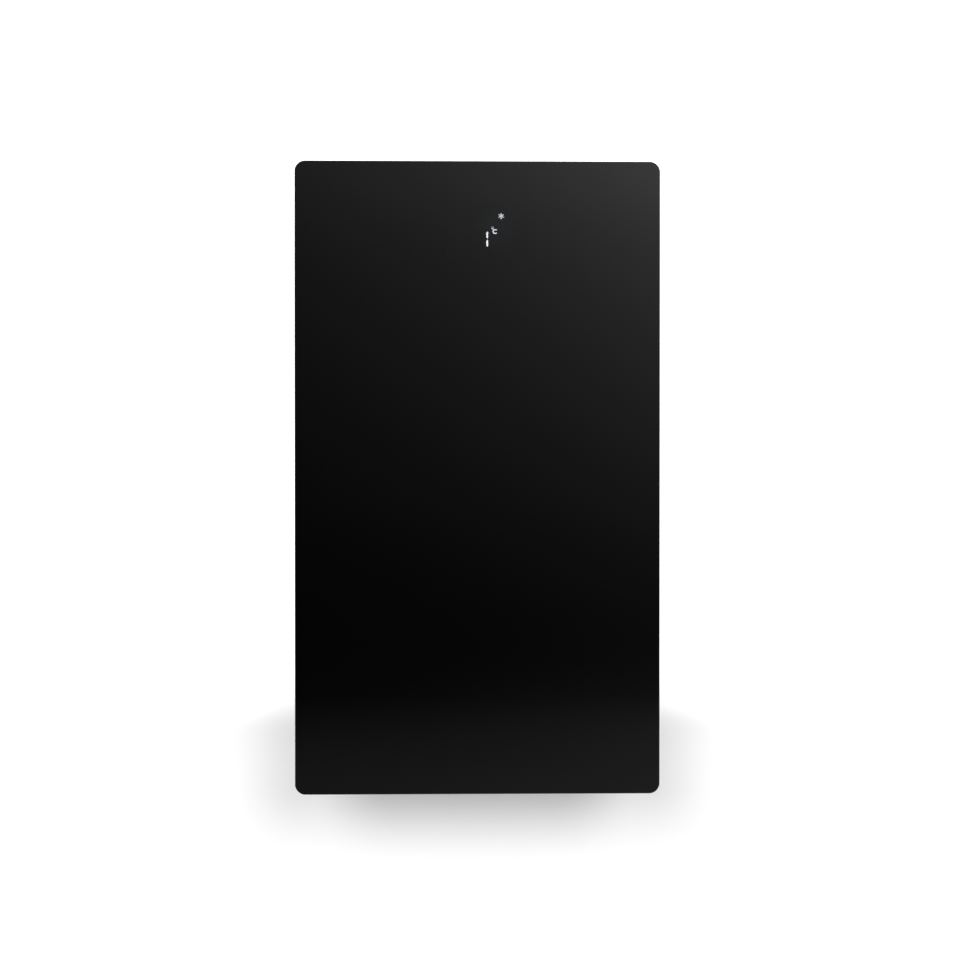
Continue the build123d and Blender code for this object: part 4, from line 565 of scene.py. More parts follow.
def grained(name, colour, rough, depth, scale, amount=0.12):
    """Moulded plastic, powder coat, rubber and other finely pitted surfaces."""
    return patterned(name, colour, amount, rough, depth, ("grain", {"scale": scale}), "Drift")


def brushed(name, colour, rough=(0.22, 0.38), turn=0.0):
    """Rolled, turned or brushed metal."""
    depth, amount = 0.006, 0.08
    return patterned(name, colour, amount, rough, depth, ("brush", {"turn": turn}), "Height", metallic=1.0)


def galvanised(name, colour):
    """Zinc plate with its faint crystals."""
    material, shader = new_material(name, metallic=1.0)
    lines = use_group(shader, "brush", across=700.0)
    vary(shader, "Base Color", colour, 0.16, lines["Mask"])
    roughen(shader, 0.30, 0.46, lines["Mask"])
    bump(shader, lines["Height"], 0.004)
    return material


def board_finish():
    """Solder mask over copper, with traces and pads under it."""
    material, shader = new_material("Circuit board", specular_ior_level=0.6)
    tree = shader.id_data
    spot = put(tree, "Mapping", {"Vector": object_place(tree), "Scale": (320.0, 320.0, 160.0)})
    tracks = put(tree, "TexBrick", {
        "Vector": spot.outputs[0], "Color1": (0.012, 0.10, 0.045, 1), "Color2": (0.016, 0.135, 0.06, 1),
        "Mortar": (0.03, 0.2, 0.09, 1), "Scale": 0.6, "Mortar Size": 0.03}).outputs
    feed(shader, "Base Color", tracks["Color"])
    roughen(shader, 0.22, 0.36, use_group(shader, "handling")["Mask"])
    bump(shader, tracks["Fac"], 0.03, 0.4)
    return material


def glass_finish(name, colour, amount, **constants):
    """Smooth glass, whose colour changes a little where hands and dust have been."""
    material, shader = new_material(name, roughness=0.0, ior=setting("glass").index, **constants)
    worn = use_group(shader, "handling", scale=9.0, reach=0.5)
    vary(shader, "Base Color", colour, amount, worn["Mask"])
    return material


def print_finish():
    """Fired black print, with a painted glow: the print gives off faint light of its own close to the marks."""
    near, far, painted_glow_colour = 6 * MM, 32 * MM, (0.5, 0.7, 1.0, 1)
    material, shader = new_material("Fired print", roughness=0.5, specular_ior_level=0.0,
                                    emission_strength=setting("display").painted_halo)
    grain = use_group(shader, "grain", scale=2400.0)
    vary(shader, "Base Color", setting("glass").print_colour, 0.3, grain["Drift"])
    tree = shader.id_data
    low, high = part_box("display_lit")
    # Painted glow: the print's emission is strongest near the marks and fades out further away.
    gap = put(tree, "VectorMath", {0: object_place(tree), 1: (low + high) / 2}, operation="DISTANCE")
    glow = mapped(tree, gap.outputs["Value"], near, far, 1.0, 0.0, interpolation_type="SMOOTHERSTEP")
    feed(shader, "Emission Color", mixed_colour(tree, glow, (0, 0, 0, 1), painted_glow_colour))
    return material


def lit_finish(name, gain):
    """Light pipes over lit chips. The small signs need another light than the figure's wide bars."""
    settings = setting("display")
    material, shader = new_material(name, roughness=0.4, base_color=(0.8, 0.85, 0.9, 1),
                                    emission_strength=settings.strength * gain)
    grain = use_group(shader, "grain", scale=1500.0, drift_scale=300.0)
    vary(shader, "Emission Color", settings.lit, 0.06, grain["Drift"])
    return material


def smoked_finish():
    """Light pipes over chips that are off."""
    material, shader = new_material("Smoked pipes", roughness=0.5, specular_ior_level=0.0)
    vary(shader, "Base Color", DEEP_BLACK, 0.2, use_group(shader, "grain", scale=1500.0)["Drift"])
    return material


def film_finish():
    """Blue film shrunk over the cells, with faint creases."""
    material, shader = new_material("Cell film", coat_weight=0.3, coat_roughness=0.15)
    grain = use_group(shader, "grain", scale=60.0, drift_scale=25.0)
    vary(shader, "Base Color", (0.03, 0.10, 0.30), 0.25, grain["Drift"])
    roughen(shader, 0.3, 0.45, use_group(shader, "handling")["Mask"])
    bump(shader, grain["Drift"], 0.1)
    return material


def make_finishes():
    """Every finish by its slot. Grained takes a colour, the roughness from and to, the depth of the
    grain in millimetres, its scale, and how much the colour varies."""
    body, glass = setting("body"), setting("glass")
    quarter = radians(90)
    return {
        # The backed glass is black all through, with the same mirror as the window.
        "black_glass": glass_finish("Front glass", glass.tint, 0.03, transmission_weight=1.0),
        "backed_glass": glass_finish("Backed glass", glass.print_colour, 0.3),
        "ceramic_print": print_finish(),
        "bonding_tape": grained("Foam tape", (0.02, 0.02, 0.02), (0.85, 0.95), 0.1, 500.0),
        "black_moulding": grained("Black moulding", body.moulding, (0.45, 0.62), 0.03, 1100.0),
        "powder_coat": grained("Powder coat", body.coat, (0.48, 0.6), 0.05, 700.0, 0.08),
        "galvanised": galvanised("Zinc plate", body.zinc),
        "bare_steel": brushed("Bare steel", (0.60, 0.60, 0.61)),
        "black_rubber": grained("Black rubber", (0.022, 0.022, 0.023), (0.7, 0.85), 0.04, 600.0),
        "cell_case": film_finish(),
        "insulator_film": grained("Aramid paper", (0.72, 0.68, 0.56), (0.75, 0.9), 0.05, 400.0),
        "plate_aluminium": brushed("Machined aluminium", (0.78, 0.79, 0.80), turn=quarter),
        "copper": brushed("Copper", (0.86, 0.47, 0.30), (0.2, 0.4)),
        "insulator_black": grained("Black insulator", (0.02, 0.02, 0.022), (0.3, 0.45), 0.015, 1200.0),
        "insulator_orange": grained("Orange insulator", (0.82, 0.20, 0.02), (0.35, 0.5), 0.015, 900.0),
        "circuit_board": board_finish(),
        "heatsink_black": brushed("Black anodised", (0.05, 0.05, 0.055), (0.35, 0.5), turn=quarter),
        "lit_white": lit_finish("Lit figure", 1.0),
        "lit_signs": lit_finish("Lit signs", setting("display").sign_gain),
        "unlit_smoke": smoked_finish(),
        "fuse_ceramic": grained("Glazed ceramic", (0.82, 0.80, 0.74), (0.12, 0.2), 0.01, 300.0),
        "grey_moulding": grained("Grey moulding", (0.17, 0.175, 0.18), (0.4, 0.55), 0.03, 1100.0),
        "white_print": grained("White print", (0.78, 0.78, 0.76), (0.5, 0.65), 0.01, 1500.0, 0.05),
        "gold_plate": brushed("Gold plate", (0.92, 0.70, 0.33), (0.15, 0.25)),
        "signal_grey": grained("Grey insulation", (0.26, 0.27, 0.28), (0.5, 0.65), 0.02, 800.0),
    }


FINISH = {}


def finish_of(node):
    for row in frame["record"]["subparts"]:
        if row["node"] == node:
            return row["material_slot"]
    raise RuntimeError("no finish for " + node)


# ---- Pieces ----
def stand_for(piece, body, slot, *replaced):
    """Hands a finished piece over to the frame."""
    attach(piece, body)
    if replaced:
        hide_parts(*replaced)
    return piece


def made(name, fill, finish, body, *replaced, angle=radians(40), slot=None):
    """A finished piece in one go: its mesh, shading, finish, body and the parts that it stands for."""
    mesh = mesh_from(name, fill)
    soften(mesh, angle)
    return stand_for(add_piece(name, mesh, FINISH[finish]), body, slot or finish, *replaced)


def below(x):
    """The place under the housing's bottom at x, with levels measured downwards."""
    low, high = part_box("isolator_body")
    return Matrix.Translation((x, low.y / 2 + high.y / 2, shell_bottom)) @ FACING_DOWN


def below_middle(node):
    """The same place, at a part's middle."""
    low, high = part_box(node)
    return below((low.x + high.x) / 2)


class BATTERY_OT_finishes(bpy.types.Operator):
    """Make every finish and put it on the carried-over parts"""
    bl_idname = "battery.finishes"
    bl_label = "Finishes"

    def execute(self, context):
        FINISH.update(make_finishes())
        for name, part in nodes.items():
            part.data.materials.clear()
            part.data.materials.append(FINISH[finish_of(name)])
        return {"FINISHED"}


class BATTERY_OT_glass(bpy.types.Operator):
    """Make the front glass with its ground edges"""
    bl_idname = "battery.glass"
    bl_label = "Front Glass"

    def execute(self, context):
        settings = setting("glass")
        arris, back = settings.arris, settings.back_arris
        front, back_level = glass_size.y, settings.bond_gap
        steps = [(back, back_level), (0.3 * back, back_level + 0.3 * back), (0.0, back_level + back),
                 (0.0, front - arris), (0.12 * arris, front - 0.55 * arris),
                 (0.45 * arris, front - 0.2 * arris), (arris, front)]
        sections = [(glass_size.x - 2 * inset, glass_size.z - 2 * inset, settings.corner - inset, level)
                    for inset, level in steps]
        place = Matrix.Translation((glass_middle.x, glass_high.y, glass_middle.z)) @ FACING_FRONT
        piece = made("front_glass_slab", lambda bm: loft(bm, place, sections), "backed_glass",
                     "front_panel", "front_glass", angle=radians(50), slot="black_glass")
        piece.data.materials.append(FINISH["black_glass"])
        self.part_window(piece.data)
        return {"FINISHED"}

    def part_window(self, mesh, square_on=0.99):
        """Parts the two large faces along the display's outline, and gives clear glass to the window."""
        bm = bmesh.new()
        bm.from_mesh(mesh)
        for corner in (display_low, display_high):
            for axis in (Vector((1, 0, 0)), Vector((0, 0, 1))):
                large = [face for face in bm.faces if abs(face.normal.y) > square_on]
                edges = {edge for face in large for edge in face.edges}
                verts = {vert for face in large for vert in face.verts}
                bmesh.ops.bisect_plane(bm, geom=large + list(edges) + list(verts), dist=MERGE,
                                       plane_co=corner, plane_no=axis)
        for face in bm.faces:
            if abs(face.normal.y) > square_on:
                middle = face.calc_center_median()
                face.smooth = False
                face.material_index = int(display_low.x < middle.x < display_high.x
                                          and display_low.z < middle.z < display_high.z)
        bm.to_mesh(mesh)
        bm.free()


class BATTERY_OT_screws(bpy.types.Operator):
    """Set out the cover's button-head screws and the bracket rivets"""
    bl_idname = "battery.screws"
    bl_label = "Screws and Rivets"

    def execute(self, context):
        settings = setting("fixings")
        boxes = solids_of("cover_screws")
        low, high = boxes[0]
        head, radius, flats = settings.head, (high.x - low.x) / 2, settings.socket
        shank, length = settings.shank, high.y - low.y - head
        screw = [(flats, head - settings.socket_depth, flats), (flats, head, flats)]
        screw += [(a * radius, b * head) for a, b in ((0.5, 1), (0.7, 0.93), (0.87, 0.74), (0.97, 0.46),
                                                      (1, 0.2), (0.97, 0))]
        screw += [(shank, 0.0), (shank, 0.4 * MM - length), (0.75 * shank, -length)]
        places = [((a.x + b.x) / 2, a.y + head, (a.z + b.z) / 2) for a, b in boxes]
        repeated("cover_button_screws", lambda bm: turned(bm, FACING_FRONT, screw, steps=36), places,
                 "bare_steel", "battery", "cover_screws", turn=pi / 3, seed=4)
        boxes = solids_of("bracket_rivets")
        low, high = boxes[0]
        length, radius = high.y - low.y, (high.x - low.x) / 2
        shank, tail, bulb = settings.rivet_shank, settings.rivet_tail, 0.87 * radius
        rivet = [(0.6 * radius, 0.0), (0.92 * radius, 0.25 * MM), (radius, 0.9 * MM), (radius, 1.5 * MM),
                 (shank, 1.5 * MM), (shank, length - tail)]
        rivet += [(a * bulb, length - b * tail) for a, b in ((0.94, 1), (1, 0.75), (1, 0.5), (0.9, 0.28),
                                                             (0.62, 0.12), (0.4, 0.1), (0.38, 0))]
        places = [((a.x + b.x) / 2, a.y, (a.z + b.z) / 2) for a, b in boxes]
        repeated("blind_rivets", lambda bm: turned(bm, FACING_BACK, rivet, steps=24), places,
                 "bare_steel", "battery", "bracket_rivets", turn=2 * pi, seed=7)
        return {"FINISHED"}


class BATTERY_OT_brackets(bpy.types.Operator):
    """Fold the wall bracket, the hanger rail and the lower bracket from plated sheet"""
    bl_idname = "battery.brackets"
    bl_label = "Brackets"

    def execute(self, context):
        settings = setting("brackets")
        sheet = settings.sheet
        half = sheet / 2
        low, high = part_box("wall_bracket")
        shelf_z = high.z - settings.lip
        lines = [[(high.y - half, low.z), (high.y - half, shelf_z - half), (low.y + half, shelf_z - half),
                  (low.y + half, high.z)]]
        holes = [Vector((sx * settings.bolts_across / 2, high.y - half, sz * settings.bolts_up / 2))
                 for sx in (-1, 1) for sz in (-1, 1)]
        self.fold("wall_bracket", lines, holes, settings.bolt_hole)
        low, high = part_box("hanger_rail")
        web_z = shelf_z + settings.lip + half
        lines = [[(low.y + half, low.z), (low.y + half, high.z)],
                 [(low.y + sheet, web_z), (high.y - half, web_z), (high.y - half, low.z)]]
        self.fold("hanger_rail", lines, [], 0.0)
        low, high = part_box("lower_bracket")
        web_z = high.z - settings.lower_pad - half
        lines = [[(low.y + half, high.z), (low.y + half, web_z), (high.y - half, web_z),
                  (high.y - half, low.z)]]
        hole_z = (low.z + web_z - half) / 2
        holes = [Vector((sx * settings.screws_across / 2, high.y - half, hole_z)) for sx in (-1, 1)]
        self.fold("lower_bracket", lines, holes, settings.screw_hole)
        return {"FINISHED"}

    def fold(self, node, lines, holes, radius):
        settings = setting("brackets")
        low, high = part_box(node)

        def fill(bm):
            for line in lines:
                folded_sheet(bm, line, settings.sheet, settings.bend, high.x - low.x)
        mesh = mesh_from(node + "_sheet", fill)
        if holes:
            mesh = drilled(mesh, node, holes, radius, 2 * settings.sheet)
        soften(mesh, radians(40))
        stand_for(add_piece(node + "_sheet", mesh, FINISH["galvanised"]), "battery", "galvanised", node)


class BATTERY_OT_handles(bpy.types.Operator):
    """Make both recessed cups, their fold-out bails and the ribbed rubber grips"""
    bl_idname = "battery.handles"
    bl_label = "Carrying Handles"

    def execute(self, context):
        boxes = solids_of("handle_cups")
        for side, facing, box in (("left", FACING_LEFT, boxes[0]), ("right", FACING_RIGHT, boxes[-1])):
            low, high = box
            lip = (low + high) / 2
            lip.x = high.x if side == "right" else low.x
            self.make_cup(side, facing, high - low, lip)
            self.make_bail(side)
            self.make_grip(side)
        return {"FINISHED"}

    def make_cup(self, side, facing, size, lip):
        """Levels are measured outwards from the rim, in millimetres as the whole profile is."""
        settings = setting("handles")
        flange, wall, rim = settings.flange / MM, settings.wall / MM, settings.rim / MM
        draft, corner, deep = settings.draft / MM, settings.corner / MM, size.x / MM
        edge = 2 * (flange + wall)
        mouth_y, mouth_z = size.y / MM - edge, size.z / MM - edge
        steps = [(2 * wall - 3, 0.7, -deep), (2 * wall, 0.8, 1.5 - deep), (2 * wall, 0.8, -rim),
                 (edge - 0.6, 1.4, -rim), (edge, 1.4, -0.7 * rim), (edge - 0.4, 1.4, -0.2 * rim),
                 (edge - 1.4, 1.3, 0), (3.4, 1.1, 0), (1.8, 1.0, -0.3), (0.5, 0.9, -1.1), (0, 0.85, -2.4),
                 (-draft, 0.75, 6 - deep), (-1.6 * draft, 0.7, 3.7 - deep), (-3.2 * draft, 0.6, 2.4 - deep),
                 (-5.5 * draft, 0.5, 2 - deep)]
        sections = [(mouth_y + grow, mouth_z + grow, corner * share, level) for grow, share, level in steps]
        pivot = self.pivot(side)
        boss = [(6, -0.5), (6, 1.9), (5.4, 2.5)]

        def fill(bm):
            loft(bm, Matrix.Translation(lip) @ facing, scaled(sections))
            for end, inwards in ((-1, FACING_BACK), (1, FACING_FRONT)):
                seat = Matrix.Translation((pivot.x, pivot.y + end * mouth_y * MM / 2, pivot.z)) @ inwards
                turned(bm, seat, scaled(boss))
        made(side + "_cup_liner", fill, "black_moulding", "battery", "handle_cups")
        screw = [(1.2, -0.5, 1.6), (1.2, 0.35, 1.6), (1.5, 0.7), (2.2, 0.55), (2.7, 0.25), (2.9, 0),
                 (2.9, -0.3)]
        inset = 0.55 * settings.flange
        across, up = size.y / 2 - inset, size.z / 2 - inset
        places = [(lip.x, lip.y + sy * across, lip.z + sz * up) for sy in (-1, 1) for sz in (-0.9, 0, 0.9)]
        repeated(side + "_cup_screws", lathe(facing, screw, steps=30), places, "bare_steel", "battery",
                 axis=(1, 0, 0), turn=pi / 3, seed=11)

    def pivot(self, side):
        for joint in frame["joints"]:
            if joint["name"] == side + "_handle_lift":
                return Vector(joint["pos_m"])
        raise RuntimeError("no handle joint on the " + side)

    def make_bail(self, side):
        settings = setting("handles")
        low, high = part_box(side + "_bail")
        radius, bend = settings.rod, settings.bend
        pivot = self.pivot(side)
        reach = settings.pin_length
        leg = (high.y - low.y) / 2 - reach
        foot = low.z + radius
        across, up, out = Vector((0, 1, 0)), Vector((0, 0, 1)), Vector((1, 0, 0))
        top = pivot.z + 0.55 * radius
        near = Vector((pivot.x, pivot.y + leg, 0))
        far = Vector((pivot.x, pivot.y - leg, 0))
        points = [near + up * top, near + up * (foot + bend)]
        points += arc(near + up * (foot + bend) - across * bend, across, -up, bend)
        points += arc(far + up * (foot + bend) + across * bend, -up, -across, bend)
        points += [far + up * (foot + bend), far + up * top]
        points = [p for i, p in enumerate(points) if i == 0 or (p - points[i - 1]).length > SAME_PLACE]
        pin = [(settings.pin, 0.0), (settings.pin, reach - 0.5 * MM), (settings.pin - 0.5 * MM, reach)]
        dome = [(radius * cos(radians(a)), 0.45 * radius * sin(radians(a))) for a in range(0, 90, 15)]

        def fill(bm):
            rod_along(bm, points, radius, out)
            for end, facing in ((1, FACING_BACK), (-1, FACING_FRONT)):
                spot = Matrix.Translation((pivot.x, pivot.y + end * leg, pivot.z))
                turned(bm, spot @ facing, pin, steps=32)
                cap = Matrix.Translation((pivot.x, pivot.y + end * leg, top))
                turned(bm, cap, dome, steps=20)
        made(side + "_bail_rod", fill, "bare_steel", side + "_handle", side + "_bail", angle=radians(50))

    def make_grip(self, side):
        settings = setting("handles")
        low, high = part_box(side + "_grip")
        middle, length = (low + high) / 2, high.y - low.y
        radius, hollow = (high.z - low.z) / 2, settings.rod
        core = radius - settings.rib_height
        collar = settings.collar
        half = length / 2
        end = [(hollow, -half), (core, -half), (radius - 0.4 * MM, 0.5 * MM - half),
               (radius, 1.4 * MM - half), (radius, collar - half), (core, collar + 0.8 * MM - half)]
        profile = end + [(r, -level) for r, level in end[::-1]]
        place = Matrix.Translation(middle) @ FACING_BACK
        made(side + "_grip_sleeve", lambda bm: turned(bm, place, profile, bored=True), "black_rubber",
             side + "_handle", side + "_grip", angle=radians(50))
        rib = settings.rib_width / 2
        ring = [(core - 0.4 * MM, -rib), (core, -rib), (radius - 0.25 * MM, -0.7 * rib),
                (radius, -0.35 * rib), (radius, 0.35 * rib), (radius - 0.25 * MM, 0.7 * rib), (core, rib),
                (core - 0.4 * MM, rib)]
        free = length - 2 * (collar + 0.8 * MM)
        count = settings.ribs
        places = [(middle.x, middle.y + free * ((i + 0.5) / count - 0.5), middle.z) for i in range(count)]
        repeated(side + "_grip_ribs", lambda bm: turned(bm, FACING_BACK, ring, bored=True, steps=40),
                 places, "black_rubber", side + "_handle", side + "_grip", angle=radians(50))


class BATTERY_OT_display(bpy.types.Operator):
    """Make the lit marks: the figure's two bars, the unit and the cold sign"""
    bl_idname = "battery.display"
    bl_label = "Lit Marks"

    # A place is how far to the right of the display's middle and above it, in millimetres.
    bars = ((11.85, -4.6), (11.85, -14.6))
    letter, letter_radii, half_mouth, letter_steps = (21.4, -0.1), (1.85 * MM, 2.85 * MM), radians(36), 40
    degree, degree_radius = (18.3, 4.2), 1.15 * MM
    # The snowflake's strokes as width and length. Those that cross differ in steps, so no fronts coincide.
    flake, arm, branch = (29, 19), (0.66 * MM, 7.0 * MM), (0.4 * MM, 1.3 * MM)
    branch_root, branch_middle, step_back = 2.1 * MM, 0.6 * MM, 0.02 * MM

    def execute(self, context):
        settings = setting("display")
        low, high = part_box("display_lit")
        depth = high.y - low.y

        def at(x, z, turn=0.0):
            spot = Vector((display_middle.x + x * MM, high.y, display_middle.z + z * MM))
            return Matrix.Translation(spot) @ FACING_FRONT @ Matrix.Rotation(turn, 4, "Z")

        def stroke(bm, place, width, length, front=depth):
            loft(bm, place, [(width, length, width * 0.45, 0), (width, length, width * 0.45, front)])

        def figure(bm):
            for x, z in self.bars:
                stroke(bm, at(x, z), settings.bar_width, settings.bar_length)

        def signs(bm):
            inner, outer = self.letter_radii
            loops = []
            for i in range(self.letter_steps + 1):
                turn = self.half_mouth + (2 * pi - 2 * self.half_mouth) * i / self.letter_steps
                ray = Vector((cos(turn), sin(turn), 0))
                loops.append([at(*self.letter) @ (ray * reach + Vector((0, 0, level)))
                              for reach, level in ((inner, 0), (outer, 0), (outer, depth), (inner, depth))])
            skin(bm, loops)
            dot = self.degree_radius
            turned(bm, at(*self.degree), [(dot, 0), (dot, depth)], steps=32)
            for i in range(3):
                stroke(bm, at(*self.flake, pi / 3 * i), *self.arm, depth - self.step_back * i)
            root = Matrix.Translation((0, self.branch_root, 0))
            along = Matrix.Translation((0, self.branch_middle, 0))
            for i in range(6):
                for hand in (-1, 1):
                    spread = Matrix.Rotation(hand * pi / 4, 4, "Z")
                    stroke(bm, at(*self.flake, pi / 3 * i) @ root @ spread @ along, *self.branch,
                           depth - (4 + hand) * self.step_back)

        made("display_figure", figure, "lit_white", "battery", "display_lit")
        made("display_signs", signs, "lit_signs", "battery", "display_lit", slot="lit_white")
        return {"FINISHED"}


class BATTERY_OT_glands(bpy.types.Operator):
    """Make the two cable glands with their bodies, domed nuts and rubber seals"""
    bl_idname = "battery.glands"
    bl_label = "Cable Glands"

    def execute(self, context):
        settings = setting("fittings")
        bore, seal, flats = settings.cable_hole / MM, settings.seal / MM, settings.gland_flats / MM
        nut_flats = flats - 2.5
        body = [(seal + 0.05, -14), (16, -14), (16, 0), (flats / 2, 0), (0.57 * flats, 1.1, flats),
                (0.58 * flats, 1.6, flats), (0.58 * flats, 5.6, flats), (0.57 * flats, 6.1, flats),
                (flats / 2, 7), (13.5, 7), (13.5, 17.8), (seal + 0.05, 17.8)]
        nut = [(13.6, 7.05), (15.8, 7.05), (18.0, 8.0, nut_flats), (18.2, 14.8, nut_flats),
               (16.4, 16.3, nut_flats), (16, 16.5), (16, 20.6), (15.6, 22.2), (14.6, 23.7), (13.2, 24.7),
               (12, 25), (seal + 0.3, 24.8), (seal + 0.1, 24.3), (seal + 0.1, 18.3), (13.6, 18.3)]
        ring = [(bore, 3.2), (seal - 0.5, 3), (seal, 3.6), (seal, 23.2), (seal - 0.8, 24.1),
                (bore + 1.4, 24.1), (bore + 0.9, 23.3), (bore + 0.4, 23.3), (bore, 22.4)]
        for name, profile, finish in (("gland_bodies", body, "insulator_black"),
                                      ("gland_nuts", nut, "insulator_black"),
                                      ("gland_seals", ring, "black_rubber")):
            middles = [(low + high) / 2 for low, high in solids_of(name)]
            places = [(spot.x, spot.y, shell_bottom) for spot in middles]
            repeated(name + "_turned", lathe(FACING_DOWN, profile, True, 72), places, finish, "battery",
                     name, angle=radians(28))
        return {"FINISHED"}


class BATTERY_OT_isolator(bpy.types.Operator):
    """Make the isolator's handle, its escutcheon and their printed marks"""
    bl_idname = "battery.isolator"
    bl_label = "Isolator"

    # The printed words in millimetres: size, half their thickness, distance from the plate's middle, level.
    text_size, text_extrude, text_radius, plate_level = 2.7, 0.03, 22.1, 4

    def execute(self, context):
        place = below_middle("isolator_handle")
        plate = [(4.4, 0), (25, 0), (25, 2.7), (24.6, 3.4), (23.8, 3.9), (23.2, 4), (20.9, 4), (20.5, 3.6),
                 (5.2, 3.6), (4.4, 3.4)]
        made("isolator_plate", lathe(place, plate, True, 96), "grey_moulding", "battery",
             "isolator_escutcheon")
        disc = [(18.6, 4.5), (19.5, 4.8, -0.3), (20, 5.5, -0.5), (20, 8.4, -0.5), (19.6, 9.4, -0.3),
                (18.6, 10.2), (17.4, 10.4)]
        bar = [(36.6, 12, 5, 10.2), (36.8, 10.8, 4.6, 11), (36.6, 9.6, 4.2, 12.6), (36.4, 8.6, 4, 16),
               (36.8, 8.6, 4, 20), (37.6, 9.4, 4.3, 23.4), (37.6, 9.6, 4.4, 24.8), (36.8, 9, 4.1, 25.8),
               (35.4, 7.6, 3.5, 26.3)]

        def handle(bm):
            turned(bm, place, scaled(disc), steps=144)
            loft(bm, place, scaled(bar))
        made("isolator_grip", handle, "insulator_black", "isolator", "isolator_handle")
        stripe = [(9, 1.3, 0.6, 26.2), (9, 1.3, 0.6, 26.36)]
        shift = Matrix.Translation((11 * MM, 0, 0))
        made("isolator_pointer", lambda bm: loft(bm, place @ shift, scaled(stripe)), "white_print",
             "isolator", slot="grey_moulding")
        self.letters("isolator_on", "ON", place, Vector((1, 0, 0)))
        self.letters("isolator_off", "OFF", place, Vector((0, -1, 0)))
        return {"FINISHED"}

    def letters(self, name, words, place, up):
        """Flat letters standing a hair proud of the plate, read from below, with their tops outwards."""
        text = bpy.data.curves.new(name, "FONT")
        text.body, text.size, text.align_x, text.align_y = words, self.text_size * MM, "CENTER", "CENTER"
        text.extrude = self.text_extrude * MM
        flat = applied(add_piece(name, text))
        outward = Vector((0, 0, -1))
        across = up.cross(outward)
        start = place.to_translation() + outward * self.plate_level * MM + up * self.text_radius * MM
        for vert in flat.vertices:
            x, y, z = vert.co
            vert.co = start + across * x + up * y + outward * z
        mesh = mesh_from(name, lambda bm: bm.from_mesh(flat))
        stand_for(add_piece(name, mesh, FINISH["white_print"]), "battery", "grey_moulding")


class BATTERY_OT_button(bpy.types.Operator):
    """Make the power button's bezel and its dished cap"""
    bl_idname = "battery.button"
    bl_label = "Power Button"

    def execute(self, context):
        place = below_middle("power_button")
        bezel = [(6.2, -24), (8, -24), (8, 0), (11, 0), (11, 1.6), (10.7, 2.1), (10.1, 2.5), (7.6, 2.5),
                 (6.8, 2.3), (6.3, 1.7), (6.2, 1)]
        cap = [(6, -0.6), (6, 3.9), (5.9, 4.3), (5.6, 4.65), (5.2, 4.85), (4.8, 4.9), (4.4, 4.8),
               (3.2, 4.45), (1.8, 4.25), (0.5, 4.2)]
        ring = [(2.2, 4.25), (2.7, 4.25), (2.7, 4.45), (2.2, 4.4)]
        made("button_bezel", lathe(place, bezel, True, 64), "bare_steel", "battery", "button_body")
        made("button_cap", lathe(place, cap, steps=64), "bare_steel", "button", "power_button")
        made("button_mark", lathe(place, ring, True), "white_print", "button", slot="grey_moulding")
        return {"FINISHED"}


class BATTERY_OT_sockets(bpy.types.Operator):
    """Make the network sockets with their contacts and the board they stand on"""
    bl_idname = "battery.sockets"
    bl_label = "Network Sockets"

    def execute(self, context):
        settings = setting("fittings")
        boxes = sorted(solids_of("comms_sockets"), key=lambda box: box[1].x - box[0].x)
        spots = [(low.x + high.x) / 2 for low, high in boxes[:2]]
        shell = [(16, 14, 0.6, -17.5), (16, 14, 0.6, 2.2), (15.4, 13.4, 0.6, 2.5), (12.8, 9, 0.6, 2.5),
                 (11.8, 8, 0.4, 1.8), (11.8, 8, 0.4, -12.4)]

        def shells(bm):
            for x in spots:
                loft(bm, below(x), scaled(shell))
        made("socket_shells", shells, "grey_moulding", "battery", "comms_sockets")
        low, high = boxes[-1]
        wide, deep, corner = high.x - low.x, high.y - low.y, 1 * MM
        board = [(wide, deep, corner, 17.55 * MM), (wide, deep, corner, 17.5 * MM + high.z - low.z)]
        lift = Matrix.Scale(-1, 4, (0, 0, 1))
        made("socket_board", lambda bm: loft(bm, below((low.x + high.x) / 2) @ lift, board),
             "circuit_board", "battery", "comms_sockets")
        wire = [Vector((0, y * MM, z * MM)) for y, z in ((3.7, 11.8), (3.7, 10.6), (3.2, 9.9), (0.8, 7.4),
                                                         (0.2, 6.9), (0.0, 6.2))]
        pitch, count = settings.contact_pitch, settings.contacts
        centre = below(0).to_translation()
        steps = [(i - (count - 1) / 2) * pitch for i in range(count)]
        places = [(x + step, centre.y, centre.z) for x in spots for step in steps]
        repeated("socket_contacts", lambda bm: rod_along(bm, wire, 0.22 * MM, Vector((1, 0, 0)), 8), places,
                 "gold_plate", "battery", "comms_sockets", angle=radians(50), slot="copper")
        return {"FINISHED"}


class BATTERY_OT_earth(bpy.types.Operator):
    """Make the threaded earth stud with its flange and inner nut"""
    bl_idname = "battery.earth"
    bl_label = "Earth Stud"

    def execute(self, context):
        place = below_middle("earth_terminal")
        flange = [(4, -2), (4, 0), (5.9, 0), (6, 0.3), (6, 1.1), (5.6, 1.6), (2.4, 1.6)]
        nut = [(6.4, -2.05), (7.4, -2.5, 13), (7.4, -5.5, 13), (6.4, -6)]
        radius, depth, pitch, start, end = 3 * MM, 0.45 * MM, 1 * MM, 1.5 * MM, 16 * MM

        def fill(bm):
            turned(bm, place, scaled(flange))
            turned(bm, place, scaled(nut))
            threaded(bm, place, radius, depth, pitch, start, end)
        made("earth_stud", fill, "bare_steel", "battery", "earth_terminal", angle=radians(25))
        return {"FINISHED"}


